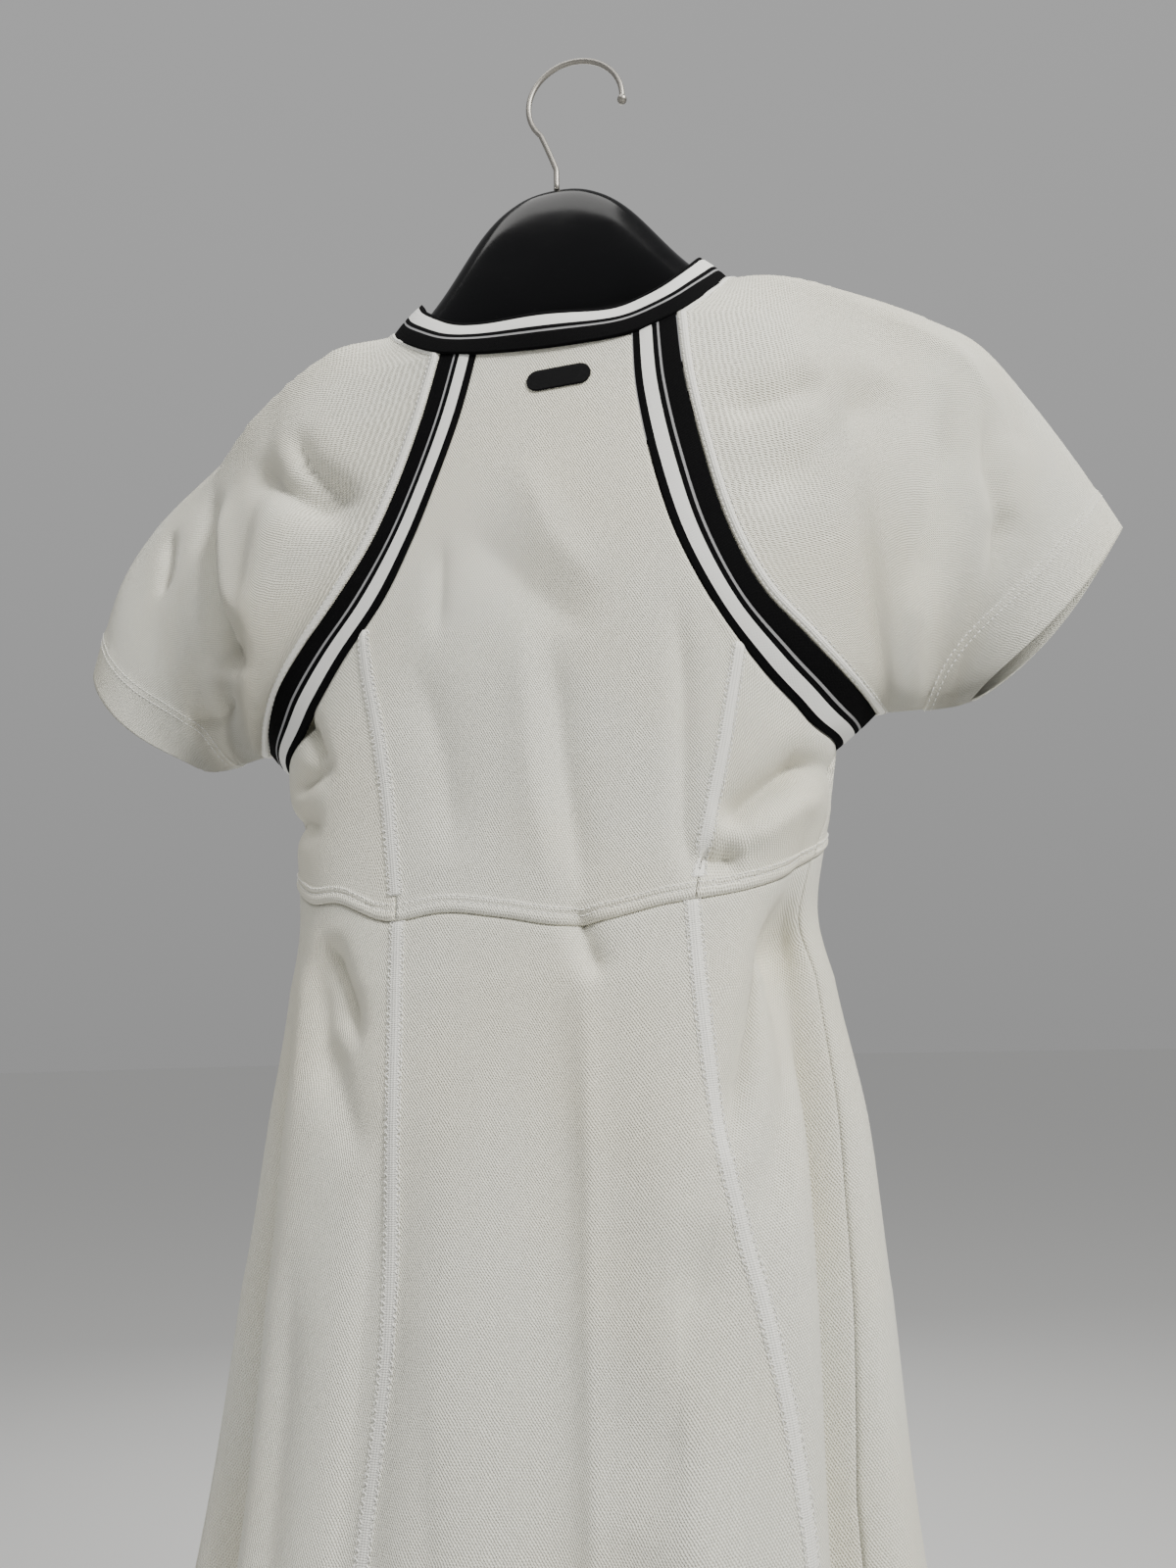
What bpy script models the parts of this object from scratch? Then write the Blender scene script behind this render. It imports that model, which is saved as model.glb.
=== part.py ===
# A women's short-sleeved tennis dress of white pique knit, hung on a black plastic hanger.
# Metres, +Z up. The origin is the crown of the hook, where the hanger hangs. The wearer's left is +X,
# the back of the dress faces +Y. Dress and hanger are drawn about the hanger's neck, which stands
# PLUMB to the side of the hook's crown.
import math

import bmesh
import bpy
from mathutils import Vector

# Driving dimensions
PLUMB = 0.011
CLOTH = 0.0013
RIB = 0.0015
SEAM_GAP = 0.00032
TAPE_GAP = 0.00110
HEM_Z = -0.970
WAIST_MID_Z = -0.4415
WAIST_DROP = 0.0315
BAND_WIDTH = 0.0200
BAND_LEAN = 0.14
BAND_SHOULDER_LEAN = 0.62
BAND_SHOULDER_CLEAR = 0.75 * CLOTH
FLATNESS = 0.25
FOLD_SHARPNESS = 1.6

# Grid steps of the panels
CENTRE_STEPS = 10
SIDE_STEPS = 7
RAGLAN_STEPS = 16
PRINCESS_STEP = 9
BODICE_SIDE_ROWS = 5
SKIRT_ROWS = 12
SLEEVE_ROWS = 10
TAPE_STEPS = 2

# Rings of the body: height, shift of the middle, half width, depth to the back and to the front
RINGS = (
    # z, middle, half_width, back, front
    (-0.170, 0.000, 0.134, 0.040, 0.038),
    (-0.200, 0.001, 0.134, 0.0455, 0.042),
    (-0.300, 0.003, 0.136, 0.0545, 0.054),
    (-0.395, 0.006, 0.133, 0.0545, 0.060),
    (-0.430, 0.007, 0.128, 0.055, 0.059),
    (-0.470, 0.008, 0.122, 0.058, 0.055),
    (-0.500, 0.0075, 0.127, 0.062, 0.057),
    (-0.560, 0.007, 0.137, 0.070, 0.064),
    (-0.630, 0.009, 0.144, 0.077, 0.071),
    (-0.750, 0.013, 0.156, 0.086, 0.082),
    (-0.980, 0.016, 0.184, 0.104, 0.100),
)

# Folds that run down the body. Angles go round in degrees from the left side through the back.
# A minus depth is a trough. A fold fades in from its top and out to its foot over the given lengths.
FOLDS = (
    # top_z, foot_z, top_angle, foot_angle, spread, depth, fade_in, fade_out
    (-0.470, -1.100, 97, 105, 11, -0.007, 0.12, 0.00),
    (-0.520, -1.100, 114, 124, 9, 0.007, 0.16, 0.00),
    (-0.520, -1.100, 78, 84, 12, 0.005, 0.16, 0.00),
    (-0.462, -0.625, 163, 127, 7, -0.009, 0.03, 0.07),
    (-0.470, -1.100, 161, 137, 8, -0.026, 0.13, 0.00),
    (-0.405, -0.465, 4, 4, 9, -0.005, 0.02, 0.03),
    (-0.475, -1.100, 20, 44, 8, -0.020, 0.14, 0.00),
    (-0.530, -1.100, 71, 66, 6, -0.006, 0.12, 0.00),
    (-0.480, -0.560, 34, 52, 6, -0.006, 0.03, 0.04),
    (-0.440, -1.100, 266, 262, 13, 0.009, 0.20, 0.00),
    (-0.460, -1.100, 236, 231, 9, -0.010, 0.20, 0.00),
    (-0.480, -1.100, 205, 214, 8, -0.015, 0.16, 0.00),
    (-0.450, -1.100, 296, 300, 9, -0.009, 0.18, 0.00),
    (-0.470, -1.100, 331, 322, 8, -0.016, 0.16, 0.00),
)

# The tape in the raglan seam, neck to underarm, one row a step. The body edge is given by x and z,
# and lies on the body's ring. The sleeve edge is given by x, y and z.
RAGLAN_BACK_LEFT = (
    # body_x, body_z, sleeve_x, sleeve_y, sleeve_z
    (0.0310, -0.1985, 0.0500, 0.0430, -0.1950),
    (0.0390, -0.2335, 0.0587, 0.0455, -0.2305),
    (0.0500, -0.2680, 0.0705, 0.0460, -0.2645),
    (0.0610, -0.2965, 0.0840, 0.0460, -0.2935),
    (0.0755, -0.3242, 0.1020, 0.0440, -0.3190),
    (0.0945, -0.3470, 0.1205, 0.0385, -0.3390),
    (0.1110, -0.3680, 0.1360, 0.0300, -0.3555),
    (0.1250, -0.3840, 0.1475, 0.0160, -0.3700),
    (0.1390, -0.3945, 0.1540, 0.0000, -0.3790),
)
RAGLAN_BACK_RIGHT = (
    # body_x, body_z, sleeve_x, sleeve_y, sleeve_z
    (-0.0450, -0.1985, -0.0660, 0.0400, -0.1885),
    (-0.0465, -0.2300, -0.0690, 0.0445, -0.2230),
    (-0.0535, -0.2706, -0.0755, 0.0465, -0.2590),
    (-0.0640, -0.3080, -0.0850, 0.0470, -0.2980),
    (-0.0800, -0.3420, -0.0985, 0.0455, -0.3300),
    (-0.0970, -0.3680, -0.1170, 0.0395, -0.3530),
    (-0.1100, -0.3830, -0.1300, 0.0310, -0.3670),
    (-0.1190, -0.3920, -0.1405, 0.0160, -0.3765),
    (-0.1270, -0.3960, -0.1460, 0.0000, -0.3805),
)
RAGLAN_FRONT_LEFT = (
    # body_x, body_z, sleeve_x, sleeve_y, sleeve_z
    (0.0270, -0.2420, 0.0460, -0.0410, -0.2310),
    (0.0390, -0.2700, 0.0590, -0.0450, -0.2590),
    (0.0530, -0.2985, 0.0730, -0.0475, -0.2860),
    (0.0710, -0.3250, 0.0910, -0.0480, -0.3110),
    (0.0900, -0.3480, 0.1110, -0.0455, -0.3320),
    (0.1070, -0.3670, 0.1280, -0.0400, -0.3490),
    (0.1200, -0.3810, 0.1410, -0.0300, -0.3635),
    (0.1305, -0.3905, 0.1500, -0.0150, -0.3745),
    (0.1390, -0.3945, 0.1540, 0.0000, -0.3790),
)
RAGLAN_FRONT_RIGHT = (
    # body_x, body_z, sleeve_x, sleeve_y, sleeve_z
    (-0.0300, -0.2420, -0.0490, -0.0405, -0.2290),
    (-0.0400, -0.2705, -0.0605, -0.0450, -0.2590),
    (-0.0520, -0.3000, -0.0730, -0.0475, -0.2880),
    (-0.0680, -0.3270, -0.0890, -0.0480, -0.3130),
    (-0.0855, -0.3510, -0.1065, -0.0455, -0.3340),
    (-0.1010, -0.3700, -0.1220, -0.0400, -0.3510),
    (-0.1120, -0.3835, -0.1340, -0.0300, -0.3655),
    (-0.1205, -0.3925, -0.1420, -0.0150, -0.3765),
    (-0.1270, -0.3960, -0.1460, 0.0000, -0.3805),
)

# The neckline between the tapes: the middle of the back and of the front, and each shoulder
NECK_BACK_MIDDLE = (-0.007, -0.2005)
NECK_FRONT_MIDDLE = (-0.001, -0.2480)
SHOULDERS = {
    # back_x, back_y, back_z, top_x, top_y, top_z, front_x, front_y, front_z
    "left": (0.0765, 0.0260, -0.1740, 0.0880, -0.0050, -0.1525, 0.0750, -0.0280, -0.1830),
    "right": (-0.0815, 0.0240, -0.1690, -0.0890, -0.0050, -0.1490, -0.0765, -0.0280, -0.1810),
}
NECK_STEPS = 3
NECK_SHARE = 0.28

# Princess seams by height: x on the back and on the front, left and right
BODICE_SEAMS = (
    # z, back_left, back_right, front_left, front_right
    (-0.340, 0.0885, -0.0800, 0.0820, -0.0790),
    (-0.400, 0.0760, -0.0740, 0.0740, -0.0710),
    (-0.440, 0.0690, -0.0685, 0.0690, -0.0660),
    (-0.480, 0.0635, -0.0640, 0.0650, -0.0620),
)
SKIRT_SEAMS = (
    # z, back_left, back_right, front_left, front_right
    (-0.400, 0.0650, -0.0630, 0.0660, -0.0630),
    (-0.470, 0.0640, -0.0640, 0.0660, -0.0640),
    (-0.560, 0.0605, -0.0725, 0.0690, -0.0690),
    (-0.640, 0.0600, -0.0900, 0.0740, -0.0740),
    (-0.700, 0.0660, -0.0990, 0.0790, -0.0790),
    (-0.800, 0.0760, -0.1060, 0.0880, -0.0860),
    (-0.980, 0.0960, -0.1150, 0.1060, -0.1020),
)
# Side seams by height, in degrees round the body
SIDE_SEAMS = (
    # z, left, right
    (-0.360, 0, 180),
    (-0.400, 0, 180),
    (-0.450, 7, 170),
    (-0.560, 9, 166),
    (-0.700, 14, 158),
    (-0.980, 24, 147),
)

# Sleeves, one row for each section out from the raglan seam. A section is an oval from its top point
# to its underarm point, deeper to the back and to the front by the given amounts. bow is how far its
# outer edge hangs past the straight line.
SLEEVE_LEFT = (
    # top_x, top_y, top_z, under_x, under_y, under_z, back, front, bow
    (0.1120, -0.0140, -0.1535, 0.1580, -0.0010, -0.3795, 0.0480, 0.0400, 0.000),
    (0.1500, -0.0330, -0.1560, 0.1640, -0.0030, -0.3800, 0.0480, 0.0350, 0.000),
    (0.1900, -0.0370, -0.1880, 0.1730, -0.0060, -0.3810, 0.0400, 0.0360, 0.000),
    (0.2200, -0.0390, -0.2072, 0.1810, -0.0090, -0.3815, 0.0330, 0.0380, 0.001),
    (0.2460, -0.0380, -0.2310, 0.1880, -0.0110, -0.3820, 0.0270, 0.0340, 0.003),
    (0.2650, -0.0360, -0.2640, 0.1940, -0.0120, -0.3820, 0.0240, 0.0290, 0.006),
    (0.2760, -0.0340, -0.3140, 0.1990, -0.0120, -0.3810, 0.0220, 0.0250, 0.009),
)
SLEEVE_RIGHT = (
    # top_x, top_y, top_z, under_x, under_y, under_z, back, front, bow
    (-0.1120, -0.0140, -0.1475, -0.1500, -0.0010, -0.3795, 0.0480, 0.0400, 0.000),
    (-0.1500, -0.0330, -0.1497, -0.1560, -0.0030, -0.3790, 0.0480, 0.0350, 0.000),
    (-0.1880, -0.0370, -0.1660, -0.1640, -0.0060, -0.3780, 0.0400, 0.0360, 0.000),
    (-0.2120, -0.0390, -0.1815, -0.1710, -0.0090, -0.3770, 0.0330, 0.0380, 0.001),
    (-0.2330, -0.0380, -0.2150, -0.1780, -0.0110, -0.3760, 0.0270, 0.0340, 0.003),
    (-0.2520, -0.0360, -0.2530, -0.1840, -0.0120, -0.3750, 0.0240, 0.0290, 0.005),
    (-0.2680, -0.0340, -0.2900, -0.1900, -0.0120, -0.3730, 0.0220, 0.0250, 0.007),
)

# Hanger: sections out from the neck, mirrored. lean turns the oval's long axis to the back.
HANGER_TILT = math.radians(2.2)
HANGER_PIVOT_Z = -0.120
HANGER_SECTIONS = (
    # x, y, z, half_long, half_thick, lean
    (0.0000, 0.0000, -0.1175, 0.0385, 0.0065, 0),
    (0.0200, 0.0000, -0.1200, 0.0370, 0.0065, 0),
    (0.0400, 0.0000, -0.1285, 0.0295, 0.0068, 0),
    (0.0660, 0.0010, -0.1520, 0.0175, 0.0072, 6),
    (0.0875, 0.0020, -0.1682, 0.0120, 0.0070, 20),
    (0.1120, -0.0060, -0.1702, 0.0160, 0.0080, 40),
    (0.1500, -0.0223, -0.1731, 0.0200, 0.0085, 45),
    (0.1900, -0.0290, -0.1940, 0.0175, 0.0085, 45),
    (0.2080, -0.0325, -0.2075, 0.0130, 0.0080, 42),
    (0.2145, -0.0335, -0.2130, 0.0060, 0.0050, 40),
)
HANGER_SIDES = 14

# Hook: a wire bent to an arc over a short neck
WIRE_RADIUS = 0.0015
HOOK_RADIUS = 0.0260
HOOK_TIP_ANGLE = 182
HOOK_START_ANGLE = -42
HOOK_LEAD_ANGLE = 14
HOOK_STEPS = 22
LEAD_STEPS = 4
BALL_RADIUS = 0.0026
BALL_GAP = 0.0003
NECK_FOOT_Z = -0.0786
NECK_STEP = 0.006

# Label pill on the back of the neck
LABEL_WIDTH = 0.0310
LABEL_HEIGHT = 0.0110
LABEL_MIDDLE = (-0.0100, -0.2190)
LABEL_TILT = math.radians(-4.0)
LABEL_THICK = 0.0008
LABEL_STEPS = 10
LABEL_END_HALF = 0.0006


def clear_scene():
    for item in list(bpy.data.objects):
        bpy.data.objects.remove(item, do_unlink=True)


def new_collection(name):
    group = bpy.data.collections.new(name)
    bpy.context.scene.collection.children.link(group)
    return group


def finish_material(name, colour, roughness, metallic=0.0):
    material = bpy.data.materials.new(name)
    material.use_nodes = True
    shader = material.node_tree.nodes["Principled BSDF"]
    shader.inputs["Base Color"].default_value = (*colour, 1.0)
    shader.inputs["Roughness"].default_value = roughness
    shader.inputs["Metallic"].default_value = metallic
    return material


# Curves and tables
def spline(rows, place):
    """Smooth value through the rows at a place from 0 to the last row's number."""
    last = len(rows) - 1
    place = min(max(place, 0.0), float(last))
    step = min(int(place), last - 1)
    t = place - step
    before = rows[max(step - 1, 0)]
    start = rows[step]
    end = rows[step + 1]
    after = rows[min(step + 2, last)]
    values = []
    for a, b, c, d in zip(before, start, end, after):
        slope_in = (c - a) / 2
        slope_out = (d - b) / 2
        bend = 2 * b - 2 * c + slope_in + slope_out
        turn = 3 * c - 3 * b - 2 * slope_in - slope_out
        values.append(((bend * t + turn) * t + slope_in) * t + b)
    return values


def at_height(table, z):
    """A table's other columns at height z, eased between its rows, which run down."""
    if z >= table[0][0]:
        return list(table[0][1:])
    if z <= table[-1][0]:
        return list(table[-1][1:])
    step = 0
    while table[step + 1][0] > z:
        step += 1
    share = (table[step][0] - z) / (table[step][0] - table[step + 1][0])
    return spline([row[1:] for row in table], step + share)


def eased(value):
    value = min(max(value, 0.0), 1.0)
    return value * value * (3 - 2 * value)


# The body's surface
def fold_depth(degrees, z):
    total = 0.0
    for top, foot, top_angle, foot_angle, spread, depth, fade_in, fade_out in FOLDS:
        if z > top or z < foot:
            continue
        down = (top - z) / (top - foot)
        off = (degrees - (top_angle + (foot_angle - top_angle) * down) + 180) % 360 - 180
        strength = eased((top - z) / fade_in)
        if fade_out:
            strength *= eased((z - foot) / fade_out)
        total += depth * strength * math.exp(-abs(off / spread) ** FOLD_SHARPNESS)
    return total


def body_point(angle, z):
    """The middle of the cloth at an angle round the body and a height."""
    middle, half, back, front = at_height(RINGS, z)
    across, along = math.cos(angle), math.sin(angle)
    depth = back if along > 0 else front
    x = middle + half * across
    y = depth * along * (1 + FLATNESS * across * across)
    outward = Vector((across / half, along / depth, 0)).normalized()
    return Vector((x, y, z)) + outward * fold_depth(math.degrees(angle), z)


def angle_at(x, z, front=False):
    middle, half, _, _ = at_height(RINGS, z)
    angle = math.acos(min(max((x - middle) / half, -1.0), 1.0))
    return 2 * math.pi - angle if front else angle


def waist_z(angle):
    return WAIST_MID_Z - WAIST_DROP * math.sin(angle)


def seam_angle(z, seam):
    """Angle of a princess seam or side seam of the bodice or skirt at a height."""
    table, column, front = seam
    value = at_height(table, z)[column]
    if table is SIDE_SEAMS:
        degrees = value + 360 if front else value
        return math.radians(degrees)
    return angle_at(value, z, front)


def seam_line(seam, top, foot, rows):
    """Angles and heights down a seam; top and foot are heights, or functions of the angle."""
    def end_of(limit):
        z = limit if not callable(limit) else WAIST_MID_Z
        for _ in range(6):
            if callable(limit):
                z = limit(seam_angle(z, seam))
        return z
    top_z, foot_z = end_of(top), end_of(foot)
    heights = [top_z + (foot_z - top_z) * row / rows for row in range(rows + 1)]
    return [(seam_angle(z, seam), z) for z in heights]


# Raglan tapes: body edge as angles and heights, sleeve edge as points
def raglan_body_edge(table, front):
    keys = [(angle_at(row[0], row[1], front), row[1]) for row in table]
    side = 0.0 if table[0][0] > 0 else math.pi
    if front:
        side = 2 * math.pi if table[0][0] > 0 else math.pi
    keys[-1] = (side, table[-1][1])
    places = [(len(keys) - 1) * i / RAGLAN_STEPS for i in range(RAGLAN_STEPS + 1)]
    return [tuple(spline(keys, place)) for place in places]


def raglan_sleeve_edge(table):
    keys = [row[2:] for row in table]
    places = [(len(keys) - 1) * i / RAGLAN_STEPS for i in range(RAGLAN_STEPS + 1)]
    return [Vector(spline(keys, place)) for place in places]


# Panels
def even_out(first, last, steps):
    """Angles and heights from one pair to another in even steps."""
    return [(first[0] + (last[0] - first[0]) * i / steps, first[1] + (last[1] - first[1]) * i / steps)
            for i in range(steps + 1)]


def patch(left, right, top, foot):
    """Fill four edges given as angles and heights. left and right run down, top and foot run from
    left to right."""
    rows, columns = len(left) - 1, len(top) - 1
    grid = []
    for i in range(rows + 1):
        v = i / rows
        line = []
        for j in range(columns + 1):
            u = j / columns
            pair = []
            for axis in (0, 1):
                sides = left[i][axis] * (1 - u) + right[i][axis] * u
                ends = top[j][axis] * (1 - v) + foot[j][axis] * v
                corners = ((top[0][axis] * (1 - u) + top[-1][axis] * u) * (1 - v)
                           + (foot[0][axis] * (1 - u) + foot[-1][axis] * u) * v)
                pair.append(sides + ends - corners)
            line.append(pair)
        grid.append(line)
    return [[body_point(angle, z) for angle, z in line] for line in grid]


def waist_line(start, end, steps):
    return [(start + (end - start) * i / steps, waist_z(start + (end - start) * i / steps))
            for i in range(steps + 1)]


def drawn_in(grid, gap, round_about=False):
    """Draw each free edge of a grid in by half the seam gap."""
    half = gap / 2
    rows, columns = len(grid), len(grid[0])
    moved = [[point.copy() for point in line] for line in grid]
    for j in range(columns):
        moved[0][j] += (grid[1][j] - grid[0][j]).normalized() * half
        moved[-1][j] += (grid[-2][j] - grid[-1][j]).normalized() * half
    if not round_about:
        for i in range(rows):
            moved[i][0] += (grid[i][1] - grid[i][0]).normalized() * half
            moved[i][-1] += (grid[i][-2] - grid[i][-1]).normalized() * half
    return moved


def cloth(name, grid, group, material, wall=CLOTH, gap=SEAM_GAP, round_about=False, flip=False):
    """An open sheet of faces over a grid of points, made a wall by Solidify."""
    grid = drawn_in(grid, gap, round_about)
    mesh = bpy.data.meshes.new(name)
    work = bmesh.new()
    verts = [[work.verts.new(point) for point in line] for line in grid]
    columns = len(grid[0])
    last = columns if round_about else columns - 1
    for i in range(len(grid) - 1):
        for j in range(last):
            k = (j + 1) % columns
            corners = [verts[i][j], verts[i + 1][j], verts[i + 1][k], verts[i][k]]
            if flip:
                corners.reverse()
            work.faces.new(corners)
    work.to_mesh(mesh)
    work.free()
    mesh.shade_smooth()
    piece = bpy.data.objects.new(name, mesh)
    piece.location.x = PLUMB
    group.objects.link(piece)
    mesh.materials.append(material)
    solid = piece.modifiers.new("wall", "SOLIDIFY")
    solid.thickness = wall
    solid.offset = 0.0
    return piece


def bodice(group, white):
    """Centre and side panels of the bodice, back and front. Each runs up to the tapes."""
    edges = {
        ("back", "left"): raglan_body_edge(RAGLAN_BACK_LEFT, False),
        ("back", "right"): raglan_body_edge(RAGLAN_BACK_RIGHT, False),
        ("front", "left"): raglan_body_edge(RAGLAN_FRONT_LEFT, True),
        ("front", "right"): raglan_body_edge(RAGLAN_FRONT_RIGHT, True),
    }
    neck = neck_line()
    for face, front in (("back", False), ("front", True)):
        lines = {}
        for side in ("left", "right"):
            column = {"left": 0, "right": 1}[side] + (2 if front else 0)
            edge = edges[face, side]
            meeting = edge[PRINCESS_STEP]
            lower = seam_line((BODICE_SEAMS, column, front), meeting[1], waist_z, BODICE_SIDE_ROWS)
            shift = meeting[0] - lower[0][0]
            rows = len(lower) - 1
            lower = [(angle + shift * (1 - i / rows), z) for i, (angle, z) in enumerate(lower)]
            lines[side] = edge[:PRINCESS_STEP] + lower
            side_table = (SIDE_SEAMS, 0 if side == "left" else 1, front and side == "left")
            flank = seam_line(side_table, edge[-1][1], waist_z, BODICE_SIDE_ROWS)
            over = edge[PRINCESS_STEP:]
            foot = waist_line(lower[-1][0], flank[-1][0], SIDE_STEPS)
            grid = patch(lower, flank, over, foot)
            turned = (side == "left") == front
            cloth("bodice_" + face + "_side_" + side, grid, group, white, flip=not turned)
        stops = neck[face]
        over = [(angle_at(point.x, point.z, front), point.z) for point in stops]
        foot = waist_line(lines["left"][-1][0], lines["right"][-1][0], CENTRE_STEPS)
        grid = patch(lines["left"], lines["right"], over, foot)
        cloth("bodice_" + face + "_centre", grid, group, white, flip=front)


def neck_line():
    """The neckline's lower edge, cut into the stretches between the tapes and over the shoulders."""
    keys = {}
    for face, side, table in (("back", "left", RAGLAN_BACK_LEFT), ("back", "right", RAGLAN_BACK_RIGHT),
                              ("front", "left", RAGLAN_FRONT_LEFT), ("front", "right", RAGLAN_FRONT_RIGHT)):
        x, z = table[0][:2]
        keys[face, side] = (body_point(angle_at(x, z, face == "front"), z), Vector(table[0][2:]))
    line = {}
    for face, (x, z) in (("back", NECK_BACK_MIDDLE), ("front", NECK_FRONT_MIDDLE)):
        middle = body_point(angle_at(x, z, face == "front"), z)
        left, right = keys[face, "left"], keys[face, "right"]
        points = [left[1], left[0], middle, right[0], right[1]]
        line[face] = [Vector(spline(points, 1 + 2 * i / CENTRE_STEPS)) for i in range(CENTRE_STEPS + 1)]
        for side, ends in (("left", left), ("right", right)):
            line[face, "tape", side] = [ends[1].lerp(ends[0], i / TAPE_STEPS) for i in range(TAPE_STEPS + 1)]
    for side in ("left", "right"):
        row = SHOULDERS[side]
        points = [keys["back", side][0], keys["back", side][1], Vector(row[0:3]), Vector(row[3:6]),
                  Vector(row[6:9]), keys["front", side][1], keys["front", side][0]]
        count = 4 * NECK_STEPS
        line["shoulder", side] = [Vector(spline(points, 1 + 4 * i / count)) for i in range(count + 1)]
    return line


def neck_band(group, material):
    """The striped rib band, standing on the neckline and leaning in."""
    line = neck_line()
    ring = []
    order = (line["back"], line["back", "tape", "right"][::-1], line["shoulder", "right"],
             line["front", "tape", "right"], line["front"][::-1], line["front", "tape", "left"][::-1],
             line["shoulder", "left"][::-1], line["back", "tape", "left"])
    for stretch in order:
        ring.extend(stretch[:-1])
    grid = []
    for share in (1.0, 0.5, 0.0):
        row = []
        for point in ring:
            inward = Vector((-point.x, -point.y, 0)).normalized()
            sideways = inward.x * inward.x
            rise = (Vector((0, 0, 1)) + inward * (BAND_LEAN + BAND_SHOULDER_LEAN * sideways)).normalized()
            clear = SEAM_GAP + BAND_SHOULDER_CLEAR * sideways
            row.append(point + rise * (clear + BAND_WIDTH * share))
        grid.append(row)
    cloth("neckband", grid, group, material, wall=RIB, gap=0.0, round_about=True)


def tapes(group, material):
    line = neck_line()
    for face, side, table in (("back", "left", RAGLAN_BACK_LEFT), ("back", "right", RAGLAN_BACK_RIGHT),
                              ("front", "left", RAGLAN_FRONT_LEFT), ("front", "right", RAGLAN_FRONT_RIGHT)):
        inner = [body_point(*pair) for pair in raglan_body_edge(table, face == "front")]
        outer = raglan_sleeve_edge(table)
        grid = [[a.lerp(b, j / TAPE_STEPS) for j in range(TAPE_STEPS + 1)] for a, b in zip(inner, outer)]
        turned = (side == "left") == (face == "back")
        cloth("raglan_tape_" + face + "_" + side, grid, group, material, wall=RIB, gap=TAPE_GAP,
              flip=turned)


def sleeve_section(row, share):
    """A point of an oval sleeve section. share runs from -1 at the underarm over the front and the
    top, at 0, down the back to 1."""
    top, under = Vector(row[0:3]), Vector(row[3:6])
    back, front, bow = row[6:9]
    turn = math.pi * share
    point = (top + under) / 2 + (top - under) / 2 * math.cos(turn)
    point.y += (back if share > 0 else front) * math.sin(turn)
    outward = Vector((-(top - under).z, 0, (top - under).x)).normalized()
    if outward.x * top.x < 0:
        outward.negate()
    return point + outward * bow * math.sin(turn) ** 2


def sleeve(group, side, table, back, front, white):
    line = neck_line()
    over = line["shoulder", side]
    edge = raglan_sleeve_edge(front)[::-1][:-1] + over[::-1] + raglan_sleeve_edge(back)[1:]
    neck_count = len(over) - 1
    shares = []
    for i in range(RAGLAN_STEPS):
        shares.append(-1 + (1 - NECK_SHARE) * i / RAGLAN_STEPS)
    for i in range(neck_count):
        shares.append(-NECK_SHARE + 2 * NECK_SHARE * i / neck_count)
    for i in range(RAGLAN_STEPS + 1):
        shares.append(NECK_SHARE + (1 - NECK_SHARE) * i / RAGLAN_STEPS)
    grid = []
    for k in range(SLEEVE_ROWS + 1):
        place = len(table) * k / SLEEVE_ROWS
        row = []
        for j, share in enumerate(shares):
            keys = [edge[j]] + [sleeve_section(section, share) for section in table]
            row.append(Vector(spline(keys, place)))
        grid.append(row)
    cloth("sleeve_" + side, grid, group, white, flip=side == "right")


def skirt(group, white):
    """Six flared panels from the waist seam to the hem."""
    def line_of(table, column, front):
        return seam_line((table, column, front), waist_z, HEM_Z, SKIRT_ROWS)
    princess = {
        ("back", "left"): line_of(SKIRT_SEAMS, 0, False),
        ("back", "right"): line_of(SKIRT_SEAMS, 1, False),
        ("front", "left"): line_of(SKIRT_SEAMS, 2, True),
        ("front", "right"): line_of(SKIRT_SEAMS, 3, True),
    }
    flank = {
        ("back", "left"): line_of(SIDE_SEAMS, 0, False),
        ("back", "right"): line_of(SIDE_SEAMS, 1, False),
        ("front", "left"): line_of(SIDE_SEAMS, 0, True),
        ("front", "right"): line_of(SIDE_SEAMS, 1, False),
    }
    for face in ("back", "front"):
        for side in ("left", "right"):
            inner, outer = princess[face, side], flank[face, side]
            steps = 2 * SIDE_STEPS
            over = waist_line(inner[0][0], outer[0][0], steps)
            foot = even_out(inner[-1], outer[-1], steps)
            grid = patch(inner, outer, over, foot)
            turned = (side == "left") == (face == "front")
            cloth("skirt_" + face + "_side_" + side, grid, group, white, flip=not turned)
        left, right = princess[face, "left"], princess[face, "right"]
        steps = 2 * CENTRE_STEPS
        over = waist_line(left[0][0], right[0][0], steps)
        foot = even_out(left[-1], right[-1], steps)
        cloth("skirt_" + face + "_centre", patch(left, right, over, foot), group, white,
              flip=face == "front")


def label(group, black):
    """A pill-shaped label, moved out from the back panel's own surface."""
    out = CLOTH / 2 + SEAM_GAP + LABEL_THICK / 2
    end = LABEL_HEIGHT / 2
    grid = []
    for i in range(LABEL_STEPS + 1):
        reach = -math.cos(math.pi * i / LABEL_STEPS) * LABEL_WIDTH / 2
        past = max(abs(reach) - (LABEL_WIDTH / 2 - end), 0.0)
        half = max(math.sqrt(max(end * end - past * past, 0.0)), LABEL_END_HALF)
        row = []
        for share in (-1, 0, 1):
            across = reach * math.cos(LABEL_TILT) - share * half * math.sin(LABEL_TILT)
            up = reach * math.sin(LABEL_TILT) + share * half * math.cos(LABEL_TILT)
            x, z = LABEL_MIDDLE[0] + across, LABEL_MIDDLE[1] + up
            point = body_point(angle_at(x, z), z)
            row.append(point + Vector((0, out, 0)))
        grid.append(row)
    cloth("neck_label", grid, group, black, wall=LABEL_THICK, gap=0.0, flip=True)


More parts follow.
